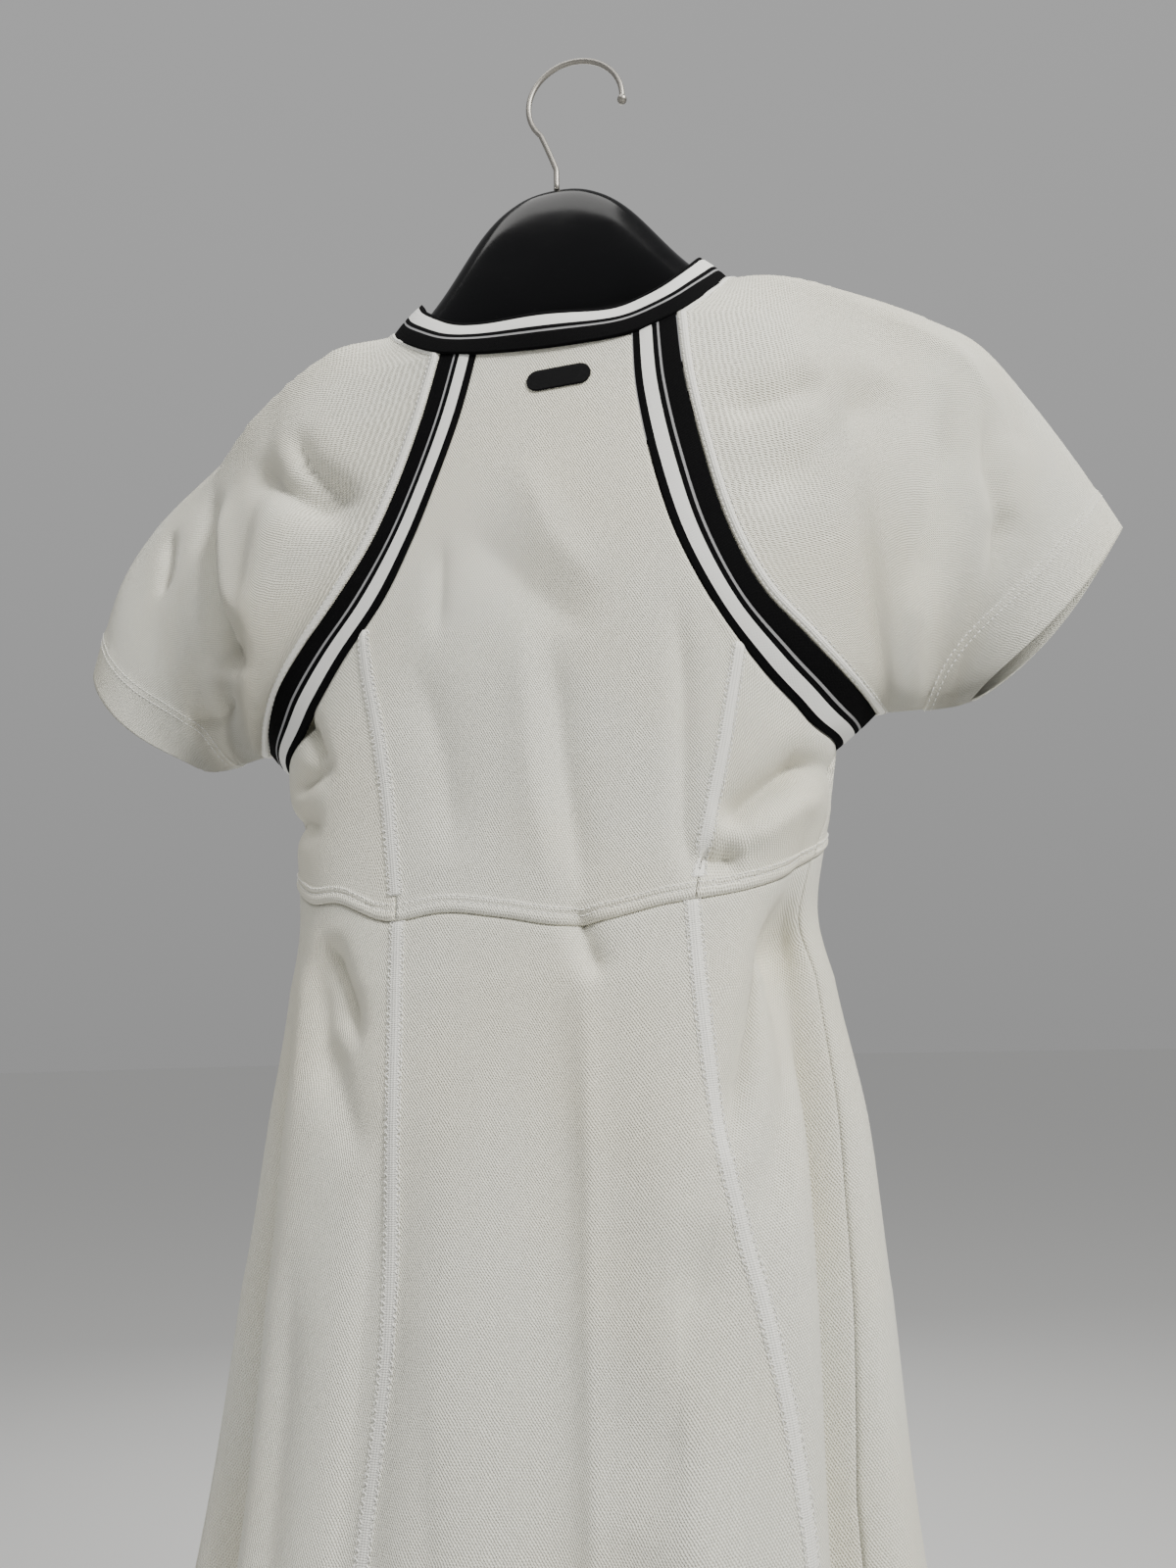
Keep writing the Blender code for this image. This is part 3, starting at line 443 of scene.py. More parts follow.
def seam_angle(z, seam):
    table, column, front = seam
    value = at_height(table, z)[column]
    if table is SIDE_SEAMS:
        return math.radians(value + 360 if front else value)
    return angle_at(value, z, front)


def seam_line(seam, top, foot, shares):
    """Angles and heights down a seam; top and foot are heights, or functions of the angle. shares
    says how far down each row lies."""
    ends = []
    for limit in (top, foot):
        z = WAIST_MID_Z if callable(limit) else limit
        for _ in range(SEAM_END_TRIES):
            z = limit(seam_angle(z, seam)) if callable(limit) else z
        ends.append(z)
    heights = [ends[0] + (ends[1] - ends[0]) * share for share in shares]
    return [(seam_angle(z, seam), z) for z in heights]


def raglan_body_edge(face, side):
    table, front = RAGLAN[face, side], face == "front"
    keys = [(angle_at(row[0], row[1], front), row[1]) for row in table]
    under_arm = math.pi if side == "right" else (2 * math.pi if front else 0.0)
    keys[-1] = (under_arm, table[-1][1])
    return [tuple(spline(keys, (len(keys) - 1) * i / RAGLAN_STEPS)) for i in range(RAGLAN_STEPS + 1)]


def between(first, last, steps):
    return [tuple(a + (b - a) * i / steps for a, b in zip(first, last)) for i in range(steps + 1)]


def waist_line(start, end, steps):
    angles = [start + (end - start) * i / steps for i in range(steps + 1)]
    return [(angle, waist_z(angle)) for angle in angles]


def patch(left, right, top, foot):
    """Points that fill four edges of angles and heights. left and right run down."""
    rows, columns = len(left) - 1, len(top) - 1
    grid = []
    for i in range(rows + 1):
        v, line = i / rows, []
        for j in range(columns + 1):
            u, pair = j / columns, []
            for axis in (0, 1):
                sides = left[i][axis] * (1 - u) + right[i][axis] * u
                ends = top[j][axis] * (1 - v) + foot[j][axis] * v
                corners = ((top[0][axis] * (1 - u) + top[-1][axis] * u) * (1 - v)
                           + (foot[0][axis] * (1 - u) + foot[-1][axis] * u) * v)
                pair.append(sides + ends - corners)
            line.append(body_point(*pair))
        grid.append(line)
    return grid


def crease_depth(point, face, creases):
    """How far the listed creases move a point in or out."""
    total = 0.0
    for width, depth, sharp, path in creases[face]:
        reach = CREASE_REACH * width
        if not (min(p[0] for p in path) - reach < point.x < max(p[0] for p in path) + reach
                and min(p[1] for p in path) - reach < point.z < max(p[1] for p in path) + reach):
            continue
        nearest, along = 9.0, 0.0
        for step, ((x0, z0), (x1, z1)) in enumerate(zip(path, path[1:])):
            dx, dz = x1 - x0, z1 - z0
            t = ((point.x - x0) * dx + (point.z - z0) * dz) / (dx * dx + dz * dz)
            held = min(max(t, 0.0), 1.0)
            gap = math.hypot(point.x - x0 - held * dx, point.z - z0 - held * dz)
            if gap < nearest:
                nearest, along = gap, (step + held) / (len(path) - 1)
        fade = eased(min(along, 1 - along) * CREASE_FADE + CREASE_END)
        total += CREASE_STRENGTH * depth * fade * math.exp(-(nearest / width) ** sharp)
    return total


def normals_of(grid, centre_of, closed=False):
    """Unit normals of a grid, all pointing away from the middle that centre_of gives for a row."""
    rows, columns = len(grid), len(grid[0])
    normals = []
    for i in range(rows):
        line = []
        for j in range(columns):
            if closed:
                across = grid[i][(j + 1) % columns] - grid[i][(j - 1) % columns]
            else:
                across = grid[i][min(j + 1, columns - 1)] - grid[i][max(j - 1, 0)]
            down = grid[min(i + 1, rows - 1)][j] - grid[max(i - 1, 0)][j]
            line.append(across.cross(down).normalized())
        normals.append(line)
    i, j = rows // 2, columns // 2
    turned = normals[i][j].dot(grid[i][j] - centre_of(grid[i][j])) < 0
    if turned:
        normals = [[-n for n in line] for line in normals]
    return normals, turned


def lengths_along(points):
    run, total = [0.0], 0.0
    for a, b in zip(points, points[1:]):
        total += (b - a).length
        run.append(total)
    return run


def edge_distances(grid):
    """For each point, how far it lies from the left, right, top and foot edges, along the cloth."""
    across = [lengths_along(line) for line in grid]
    down = [lengths_along([line[j] for line in grid]) for j in range(len(grid[0]))]
    return [[(across[i][j], across[i][-1] - across[i][j], down[j][i], down[j][-1] - down[j][i])
             for j in range(len(grid[0]))] for i in range(len(grid))]


def body_middle(point):
    return Vector((at_height(RINGS, point.z)[0], 0, point.z))


def turned_edge(distance):
    """A seam's cloth rolls in over its last millimetre."""
    return -EDGE_DIP * math.exp(-(distance / EDGE_TURN) ** 2)


def raised_band(distance, width, rise):
    """A flat band of doubled or overstitched cloth along an edge, with a soft step at its side."""
    return rise * (1 - eased((distance - width) / BAND_STEP + 0.5))


def shaped(grid, face_of, creases, relief, centre_of, closed=False):
    """A grid with its creases and edge relief added, its normals, and if its winding is turned."""
    normals, turned = normals_of(grid, centre_of, closed)
    distances = edge_distances(grid)
    made = []
    for i, line in enumerate(grid):
        row = []
        for j, point in enumerate(line):
            depth = crease_depth(point, face_of(point), creases) + relief(*distances[i][j])
            row.append(point + normals[i][j] * depth)
        made.append(row)
    normals, _ = normals_of(made, centre_of, closed)
    return made, normals, turned


def drawn_in(grid, gap, closed=False):
    half, rows = gap / 2, len(grid)
    made = [list(line) for line in grid]
    for j in range(len(grid[0])):
        made[0][j] = grid[0][j] + (grid[1][j] - grid[0][j]).normalized() * half
        made[-1][j] = grid[-1][j] + (grid[-2][j] - grid[-1][j]).normalized() * half
    if not closed:
        for i in range(rows):
            made[i][0] = made[i][0] + (grid[i][1] - grid[i][0]).normalized() * half
            made[i][-1] = made[i][-1] + (grid[i][-2] - grid[i][-1]).normalized() * half
    return made


def dressed(name, mesh, material, nodes):
    """Link a piece, let it ride with the dress and stand for its CAD nodes."""
    mesh.materials.append(material)
    mesh.shade_smooth()
    piece = bpy.data.objects.new(name, mesh)
    piece.location.x = PLUMB
    bpy.context.scene.collection.objects.link(piece)
    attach(piece, "root")
    if nodes:
        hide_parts(*nodes)
    return piece


def cloth(name, grid, turned, material, nodes, wall=CLOTH, gap=SEAM_GAP,
          closed=False, share_map=False):
    """A sheet over a grid of points with a real wall, and a UV map of its cut in metres."""
    grid = drawn_in(grid, gap, closed)
    rows, columns = len(grid), len(grid[0])
    down = lengths_along([line[columns // 2] for line in grid])
    widths = [lengths_along(line) for line in grid]
    last = columns if closed else columns - 1
    mesh, work = bpy.data.meshes.new(name), bmesh.new()
    cut = work.loops.layers.uv.new("cut")
    verts = [[work.verts.new(point) for point in line] for line in grid]
    centre = [line[-1] / 2 for line in widths]
    area = 0.0
    for i in range(rows - 1):
        for j in range(last):
            k = (j + 1) % columns
            corners = [(i, j), (i + 1, j), (i + 1, k), (i, k)]
            if not turned:
                corners.reverse()
            face = work.faces.new([verts[a][b] for a, b in corners])
            area += face.calc_area()
            for loop, (a, b) in zip(face.loops, corners):
                if share_map:
                    across = b / (columns - 1)
                else:
                    across = widths[a][b] if b or not closed or j == 0 else widths[a][-1]
                    across -= centre[a]
                loop[cut].uv = (across, -down[a])
    work.to_mesh(mesh)
    work.free()
    piece = dressed(name, mesh, material, nodes)
    solid = piece.modifiers.new("wall", "SOLIDIFY")
    solid.thickness, solid.offset = wall, 0.0
    width = max(line[-1] for line in widths)
    length = max(lengths_along([line[j] for line in grid])[-1] for j in range(columns))
    if closed:
        width += max((line[0] - line[-1]).length for line in grid)
    return piece


def knit_face(point):
    return "back" if point.y > 0 else "front"


seam_guides = {}
raglan_edges = {key: raglan_body_edge(*key) for key in RAGLAN}
BODICE_COLUMNS = 90
UPPER_SHARE, UPPER_ROWS, WELTED_ROWS = 0.78, 28, 36
BODICE_SHARES = [UPPER_SHARE * i / UPPER_ROWS for i in range(UPPER_ROWS)]
BODICE_SHARES += [UPPER_SHARE + (1 - UPPER_SHARE) * i / WELTED_ROWS for i in range(WELTED_ROWS + 1)]
BODICE_SIDE_ROWS = len(BODICE_SHARES) - 1
NECK_MIDDLES = {"back": (-0.007, -0.2005), "front": (-0.001, -0.2480)}
neck_keys = {key: (body_point(angle_at(*rows[0][:2], key[0] == "front"), rows[0][1]), Vector(rows[0][2:]))
             for key, rows in RAGLAN.items()}


def neck_between(face):
    """The neckline from the left tape to the right tape."""
    x, z = NECK_MIDDLES[face]
    left, right = neck_keys[face, "left"], neck_keys[face, "right"]
    points = [left[1], left[0], body_point(angle_at(x, z, face == "front"), z), right[0], right[1]]
    return [Vector(spline(points, 1 + 2 * i / BODICE_COLUMNS)) for i in range(BODICE_COLUMNS + 1)]


def welt(distance):
    """Two ridges along the waist seam with a row of stitches sunk between them."""
    if distance < WELT_RIDGE:
        return WELT_RISE * math.sin(math.pi * distance / WELT_RIDGE) ** WELT_ROUND
    if distance < WELT_TOP:
        share = (distance - WELT_RIDGE) / (WELT_TOP - WELT_RIDGE)
        return WELT_TOP_RISE * math.sin(math.pi * share) ** WELT_TOP_ROUND
    return 0.0


def bodice_relief(is_centre, princess_from):
    def relief(left, right, top, foot):
        depth = welt(foot)
        if is_centre:
            if foot > princess_from:
                return depth + turned_edge(min(left, right, top))
            return depth + raised_band(min(left, right), STRIP, STRIP_RISE)
        return depth + turned_edge(min(right, top)) + raised_band(left, STRIP, STRIP_RISE)
    return relief


for face, front in (("back", False), ("front", True)):
    lines = {}
    for column, side in enumerate(("left", "right")):
        edge = raglan_edges[face, side]
        meeting = edge[PRINCESS_STEP]
        lower = seam_line((BODICE_SEAMS, column + (2 if front else 0), front), meeting[1], waist_z,
                          BODICE_SHARES)
        shift = meeting[0] - lower[0][0]
        lower = [(angle + shift * (1 - share), z) for share, (angle, z) in zip(BODICE_SHARES, lower)]
        lines[side] = edge[:PRINCESS_STEP] + lower
        flank = seam_line((SIDE_SEAMS, column, front and side == "left"), edge[-1][1], waist_z,
                          BODICE_SHARES)
        over = edge[PRINCESS_STEP:]
        grid = patch(lower, flank, over, waist_line(lower[-1][0], flank[-1][0], len(over) - 1))
        relief = bodice_relief(False, 0.0)
        grid, normals, turned = shaped(grid, knit_face, BODY_CREASES, relief, body_middle)
        name = f"bodice_{face}_side_{side}"
        cloth(name + "_panel", grid, turned, white_pique, [name])
        seam_guides[name] = (grid, normals)
    over = [(angle_at(p.x, p.z, front), p.z) for p in neck_between(face)]
    foot = waist_line(lines["left"][-1][0], lines["right"][-1][0], BODICE_COLUMNS)
    grid = patch(lines["left"], lines["right"], over, foot)
    relief = bodice_relief(True, lines["left"][PRINCESS_STEP][1] - foot[0][1])
    grid, normals, turned = shaped(grid, knit_face, BODY_CREASES, relief, body_middle)
    cloth(f"bodice_{face}_centre_panel", grid, turned, white_pique, [f"bodice_{face}_centre"])
    seam_guides[f"bodice_{face}_centre"] = (grid, normals)

# Skirt
# Six flared panels of the same knit from the waist seam to a turned hem. The flare falls in soft
# folds, deepest at the side seams. The princess seams run on from the bodice.
HEM_Z, HEM_BAND, HEM_RISE = -0.970, 0.020, 0.00050
WAIST_TURN = 2.2
SKIRT_SEAMS = (
    # z, back_left, back_right, front_left, front_right
    (-0.400, 0.0650, -0.0630, 0.0660, -0.0630),
    (-0.470, 0.0640, -0.0640, 0.0660, -0.0640),
    (-0.560, 0.0605, -0.0725, 0.0690, -0.0690),
    (-0.640, 0.0600, -0.0900, 0.0740, -0.0740),
    (-0.700, 0.0660, -0.0990, 0.0790, -0.0790),
    (-0.800, 0.0760, -0.1060, 0.0880, -0.0860),
    (-0.980, 0.0960, -0.1150, 0.1060, -0.1020),
)
SKIRT_SIDE_COLUMNS, SKIRT_CENTRE_COLUMNS = 56, 96
SKIRT_ROWS = 200
SKIRT_SHARES = [i / SKIRT_ROWS for i in range(SKIRT_ROWS + 1)]


def skirt_relief(is_centre):
    def relief(left, right, top, foot):
        depth = raised_band(foot, HEM_BAND, HEM_RISE) + WAIST_TURN * turned_edge(top)
        if is_centre:
            return depth + raised_band(min(left, right), STRIP, STRIP_RISE)
        return depth + raised_band(left, STRIP, STRIP_RISE) + turned_edge(right)
    return relief


for face, front in (("back", False), ("front", True)):
    inner = {side: seam_line((SKIRT_SEAMS, column + (2 if front else 0), front), waist_z, HEM_Z,
                             SKIRT_SHARES) for column, side in enumerate(("left", "right"))}
    for column, side in enumerate(("left", "right")):
        outer = seam_line((SIDE_SEAMS, column, front and side == "left"), waist_z, HEM_Z, SKIRT_SHARES)
        over = waist_line(inner[side][0][0], outer[0][0], SKIRT_SIDE_COLUMNS)
        foot = between(inner[side][-1], outer[-1], SKIRT_SIDE_COLUMNS)
        grid = patch(inner[side], outer, over, foot)
        grid, normals, turned = shaped(grid, knit_face, BODY_CREASES, skirt_relief(False), body_middle)
        name = f"skirt_{face}_side_{side}"
        cloth(name + "_panel", grid, turned, white_pique, [name])
        seam_guides[name] = (grid, normals)
    over = waist_line(inner["left"][0][0], inner["right"][0][0], SKIRT_CENTRE_COLUMNS)
    foot = between(inner["left"][-1], inner["right"][-1], SKIRT_CENTRE_COLUMNS)
    grid = patch(inner["left"], inner["right"], over, foot)
    grid, normals, turned = shaped(grid, knit_face, BODY_CREASES, skirt_relief(True), body_middle)
    cloth(f"skirt_{face}_centre_panel", grid, turned, white_pique, [f"skirt_{face}_centre"])
    seam_guides[f"skirt_{face}_centre"] = (grid, normals)

# Raglan sleeves
# Each short sleeve is one piece that lies over the hanger from the front tape to the back tape, is
# joined under the arm and ends in a turned cuff. It sags past the hanger's end.
NECK_SHARE = 0.28
SHOULDERS = {
    # back_x, back_y, back_z, top_x, top_y, top_z, front_x, front_y, front_z
    "left": (0.0765, 0.0260, -0.1740, 0.0880, -0.0050, -0.1525, 0.0750, -0.0280, -0.1830),
    "right": (-0.0815, 0.0240, -0.1690, -0.0890, -0.0050, -0.1490, -0.0765, -0.0280, -0.1810),
}
SLEEVES = {
    # top_x, top_y, top_z, under_x, under_y, under_z, back, front, bow
    "left": (
        (0.1120, -0.0140, -0.1535, 0.1580, -0.0010, -0.3795, 0.0480, 0.0400, 0.000),
        (0.1500, -0.0330, -0.1560, 0.1640, -0.0030, -0.3800, 0.0480, 0.0350, 0.000),
        (0.1900, -0.0370, -0.1880, 0.1730, -0.0060, -0.3810, 0.0400, 0.0360, 0.000),
        (0.2200, -0.0390, -0.2072, 0.1810, -0.0090, -0.3815, 0.0330, 0.0380, 0.001),
        (0.2460, -0.0380, -0.2310, 0.1880, -0.0110, -0.3820, 0.0270, 0.0340, 0.003),
        (0.2650, -0.0360, -0.2640, 0.1940, -0.0120, -0.3820, 0.0240, 0.0290, 0.006),
        (0.2760, -0.0340, -0.3140, 0.1990, -0.0120, -0.3810, 0.0220, 0.0250, 0.009),
    ),
    "right": (
        (-0.1120, -0.0140, -0.1475, -0.1500, -0.0010, -0.3795, 0.0480, 0.0400, 0.000),
        (-0.1500, -0.0330, -0.1497, -0.1560, -0.0030, -0.3790, 0.0480, 0.0350, 0.000),
        (-0.1880, -0.0370, -0.1660, -0.1640, -0.0060, -0.3780, 0.0400, 0.0360, 0.000),
        (-0.2120, -0.0390, -0.1815, -0.1710, -0.0090, -0.3770, 0.0330, 0.0380, 0.001),
        (-0.2330, -0.0380, -0.2150, -0.1780, -0.0110, -0.3760, 0.0270, 0.0340, 0.003),
        (-0.2520, -0.0360, -0.2530, -0.1840, -0.0120, -0.3750, 0.0240, 0.0290, 0.005),
        (-0.2680, -0.0340, -0.2900, -0.1900, -0.0120, -0.3730, 0.0220, 0.0250, 0.007),
    ),
}
SLEEVE_CREASES = {
    # width, depth, sharpness, points in x and z
    "back": (
        (0.0070, -0.0085, CREASE, ((0.1955, -0.226), (0.1879, -0.265), (0.1804, -0.302),
            (0.1699, -0.328), (0.1494, -0.345))),
        (0.0080, 0.0036, CREASE, ((0.1810, -0.238), (0.1740, -0.270), (0.1660, -0.302),
            (0.1530, -0.324))),
        (0.0042, -0.0036, CREASE, ((0.2233, -0.245), (0.2204, -0.268), (0.2213, -0.290))),
        (0.0090, -0.0066, CREASE, ((0.1640, -0.225), (0.1408, -0.248), (0.1191, -0.263),
            (0.0920, -0.281))),
        (0.0060, -0.0050, CREASE, ((0.1340, -0.216), (0.1229, -0.240), (0.1051, -0.259),
            (0.0900, -0.274))),
        (0.0110, 0.0055, RIDGE, ((0.0850, -0.164), (0.1198, -0.181), (0.1534, -0.198),
            (0.2100, -0.229))),
        (0.0070, -0.0046, CREASE, ((0.2000, -0.358), (0.1820, -0.362), (0.1600, -0.356))),
        (0.0090, -0.0075, CREASE, ((-0.1900, -0.220), (-0.1884, -0.255), (-0.1829, -0.285),
            (-0.1735, -0.316), (-0.1630, -0.343))),
        (0.0045, -0.0036, CREASE, ((-0.2085, -0.232), (-0.2056, -0.266), (-0.2076, -0.293),
            (-0.2000, -0.326))),
        (0.0090, 0.0026, CREASE, ((-0.2200, -0.245), (-0.2160, -0.275), (-0.2100, -0.300))),
        (0.0120, -0.0058, CREASE, ((-0.1610, -0.220), (-0.1392, -0.253), (-0.0950, -0.298))),
        (0.0090, -0.0036, CREASE, ((-0.1350, -0.226), (-0.1100, -0.238), (-0.0840, -0.246))),
        (0.0120, 0.0060, RIDGE, ((-0.0760, -0.152), (-0.1205, -0.169), (-0.1627, -0.187),
            (-0.1837, -0.199), (-0.1994, -0.211), (-0.2160, -0.236))),
    ),
    "front": (
        (0.0080, -0.0075, CREASE, ((0.2000, -0.235), (0.1900, -0.275), (0.1760, -0.315),
            (0.1540, -0.338))),
        (0.0100, -0.0055, CREASE, ((0.1500, -0.215), (0.1250, -0.250), (0.0980, -0.285))),
        (0.0050, -0.0034, CREASE, ((0.2280, -0.255), (0.2240, -0.290))),
        (0.0090, -0.0070, CREASE, ((-0.1930, -0.225), (-0.1850, -0.270), (-0.1700, -0.320))),
        (0.0110, -0.0055, CREASE, ((-0.1450, -0.215), (-0.1180, -0.255), (-0.0930, -0.290))),
        (0.0055, -0.0034, CREASE, ((-0.2140, -0.240), (-0.2120, -0.285), (-0.2000, -0.315))),
    ),
}
CUFF_BAND, CUFF_RISE = 0.0230, 0.00070
SLEEVE_ROWS, SHOULDER_STEPS = 84, 40
SLEEVE_MIDDLE_Y = -0.02
SLEEVE_STRIP, SLEEVE_STRIP_RISE = 0.0058, 0.0004


def over_shoulder(side):
    """The neckline from the back tape over the shoulder to the front tape."""
    row = SHOULDERS[side]
    points = [*neck_keys["back", side], Vector(row[0:3]), Vector(row[3:6]), Vector(row[6:9]),
              neck_keys["front", side][1], neck_keys["front", side][0]]
    return [Vector(spline(points, 1 + 4 * i / SHOULDER_STEPS)) for i in range(SHOULDER_STEPS + 1)]


def raglan_sleeve_edge(face, side):
    keys = [row[2:] for row in RAGLAN[face, side]]
    return [Vector(spline(keys, (len(keys) - 1) * i / RAGLAN_STEPS)) for i in range(RAGLAN_STEPS + 1)]


def sleeve_section(row, share):
    top, under = Vector(row[0:3]), Vector(row[3:6])
    back, front, bow = row[6:9]
    turn = math.pi * share
    point = (top + under) / 2 + (top - under) / 2 * math.cos(turn)
    point.y += (back if share > 0 else front) * math.sin(turn)
    outward = Vector((-(top - under).z, 0, (top - under).x)).normalized()
    if outward.x * top.x < 0:
        outward.negate()
    return point + outward * bow * math.sin(turn) ** 2


def sleeve_relief(left, right, top, foot):
    """The cuff is doubled, and the sleeve's edge beside the tape carries a strip of stitching."""
    return (raised_band(foot, CUFF_BAND, CUFF_RISE) + turned_edge(min(top, left, right))
            + raised_band(top, SLEEVE_STRIP, SLEEVE_STRIP_RISE))


def sleeve_face(point):
    return "back" if point.y > SLEEVE_MIDDLE_Y else "front"


for side, sections in SLEEVES.items():
    over = over_shoulder(side)
    front_edge, back_edge = raglan_sleeve_edge("front", side), raglan_sleeve_edge("back", side)
    start_edge = front_edge[::-1][:-1] + over[::-1] + back_edge[1:]
    shares = [-1 + (1 - NECK_SHARE) * i / RAGLAN_STEPS for i in range(RAGLAN_STEPS)]
    shares += [-NECK_SHARE + 2 * NECK_SHARE * i / SHOULDER_STEPS for i in range(SHOULDER_STEPS)]
    shares += [NECK_SHARE + (1 - NECK_SHARE) * i / RAGLAN_STEPS for i in range(RAGLAN_STEPS + 1)]
    columns = []
    for first, share in zip(start_edge, shares):
        keys = [first] + [sleeve_section(row, share) for row in sections]
        columns.append([Vector(spline(keys, len(sections) * k / SLEEVE_ROWS))
                        for k in range(SLEEVE_ROWS + 1)])
    grid = [[column[k] for column in columns] for k in range(SLEEVE_ROWS + 1)]
    spine = [(line[len(line) // 2] + line[0]) / 2 for line in grid]

    def sleeve_middle(point, spine=spine):
        return min(spine, key=lambda p: (p - point).length)

    grid, normals, turned = shaped(grid, sleeve_face, SLEEVE_CREASES, sleeve_relief, sleeve_middle)
    cloth(f"sleeve_{side}_cloth", grid, turned, white_pique, [f"sleeve_{side}"])
    seam_guides[f"sleeve_{side}"] = (grid, normals)

# Striped tapes and neckband
# Knitted trims in black with one broad white stripe and one thin grey stripe. A tape fills each
# raglan seam, and a rib band stands round the neck. The stripes run along the trim.
RIB = 0.0015
RIB_PITCH, THREAD_PITCH = 0.00045, 0.020
TAPE_GAP = 0.0009
BAND_WIDTH, BAND_LEAN, BAND_SHOULDER_LEAN = 0.0200, 0.14, 0.62
TAPE_COLUMNS, BAND_ROWS = 22, 22
TAPE_CROWN, BAND_CROWN, BAND_CLEAR = 0.0006, 0.0009, 0.75
STRIPE_DIP, STRIPE_EDGE = 0.00022, 0.018
TAPE_JOIN_STEPS = 8
NECK_SPACING, NECK_SMOOTHING = 0.0025, 14
BAND_LAP, BAND_LAP_OUT = 0.0024, 0.0018
INK, CHALK, ASH = (0.0022, 0.0022, 0.0026), (0.80, 0.80, 0.78), (0.30, 0.30, 0.31)
TAPE_STRIPES = ((0.0, INK), (0.17, CHALK), (0.44, INK), (0.545, ASH), (0.60, INK))
BAND_STRIPES = ((0.0, INK), (0.09, CHALK), (0.42, INK), (0.53, ASH), (0.585, INK))

rib, rib_in, rib_out = socketed_group(
    "rib_knit", (("Place", "NodeSocketVector", None),),
    (("Height", "NodeSocketFloat"), ("Fleck", "NodeSocketFloat")))
add = node_maker(rib)
place = add("ShaderNodeSeparateXYZ", {0: rib_in.outputs["Place"]})
ribs = sine_of(add, place.outputs[1], RIB_PITCH)
threads = sine_of(add, place.outputs[0], THREAD_PITCH)
woven = add("ShaderNodeMath", {0: ribs, 1: threads}, operation="MULTIPLY")
stretched = add("ShaderNodeMapping", {"Vector": rib_in.outputs["Place"], "Scale": (0.02, 1.0, 1.0)})
speck = add("ShaderNodeTexNoise", {"Vector": stretched.outputs[0], "Scale": 1600.0, "Detail": 2.0})
mixed = add("ShaderNodeMath", {0: speck.outputs[0], 1: 0.6, 2: woven.outputs[0]}, operation="MULTIPLY_ADD")
fleck = add("ShaderNodeMapRange", {"Value": speck.outputs[0], "From Min": 0.35, "From Max": 0.75})
rib.links.new(mixed.outputs[0], rib_out.inputs["Height"])
rib.links.new(fleck.outputs[0], rib_out.inputs["Fleck"])


def striped_trim(name, stripes):
    material, tree, add, shader = new_finish(name)
    cut = add("ShaderNodeUVMap", uv_map="cut")
    knit = tree.nodes.new("ShaderNodeGroup")
    knit.node_tree = rib
    tree.links.new(cut.outputs[0], knit.inputs["Place"])
    across = add("ShaderNodeSeparateXYZ", {0: cut.outputs[0]})
    ramp = add("ShaderNodeValToRGB", {0: across.outputs[0]})
    ramp.color_ramp.interpolation = "CONSTANT"
    for number, (start, colour) in enumerate(stripes):
        stop = ramp.color_ramp.elements[number] if number < 2 else ramp.color_ramp.elements.new(start)
        stop.position = start
        stop.color = (*colour, 1)
    dust = add("ShaderNodeMath", {0: knit.outputs["Fleck"], 1: 0.012}, operation="MULTIPLY")
    base = add("ShaderNodeMix", {0: dust.outputs[0], 6: ramp.outputs[0], 7: (0.25, 0.25, 0.25, 1)},
               data_type="RGBA")
    tree.links.new(base.outputs[2], shader.inputs["Base Color"])
    shader.inputs["Roughness"].default_value = 0.88
    shader.inputs["Specular IOR Level"].default_value = 0.05
    relief = add("ShaderNodeBump", {"Height": knit.outputs["Height"], "Strength": 0.5, "Distance": 0.0002})
    tree.links.new(relief.outputs[0], shader.inputs["Normal"])
    return material


def resampled(path, spacing):
    run = lengths_along([point for point, _ in path])
    count = max(int(run[-1] / spacing), 1)
    made, step = [], 1
    for k in range(count + 1):
        target = run[-1] * k / count
        while step < len(run) - 1 and run[step] < target:
            step += 1
        share = (target - run[step - 1]) / max(run[step] - run[step - 1], 1e-9)
        (a, na), (b, nb) = path[step - 1], path[step]
        made.append((a.lerp(b, share), na.lerp(nb, share).normalized()))
    return made


tape_cloth = striped_trim("striped_tape", TAPE_STRIPES)
band_cloth = striped_trim("striped_neckband", BAND_STRIPES)


def stripe_relief(stripes, share):
    """A stripe sinks a little where its colour changes."""
    near = min(abs(share - start) for start, _ in stripes[1:])
    return -STRIPE_DIP * math.exp(-(near / STRIPE_EDGE) ** 2)


for (face, side), table in RAGLAN.items():
    inner = [body_point(*pair) for pair in raglan_edges[face, side]]
    outer = raglan_sleeve_edge(face, side)
    grid = [[a.lerp(b, j / TAPE_COLUMNS) for j in range(TAPE_COLUMNS + 1)] for a, b in zip(inner, outer)]
    normals, turned = normals_of(grid, body_middle)
    for i, line in enumerate(grid):
        for j in range(len(line)):
            share = j / TAPE_COLUMNS
            crown = TAPE_CROWN * math.sin(math.pi * share)
            line[j] = line[j] + normals[i][j] * (crown + stripe_relief(TAPE_STRIPES, share))
    name = f"raglan_tape_{face}_{side}"
    cloth(name + "_cloth", grid, turned, tape_cloth, [name], wall=RIB, gap=TAPE_GAP,
          share_map=True)
    seam_guides[name] = (grid, normals_of(grid, body_middle)[0])

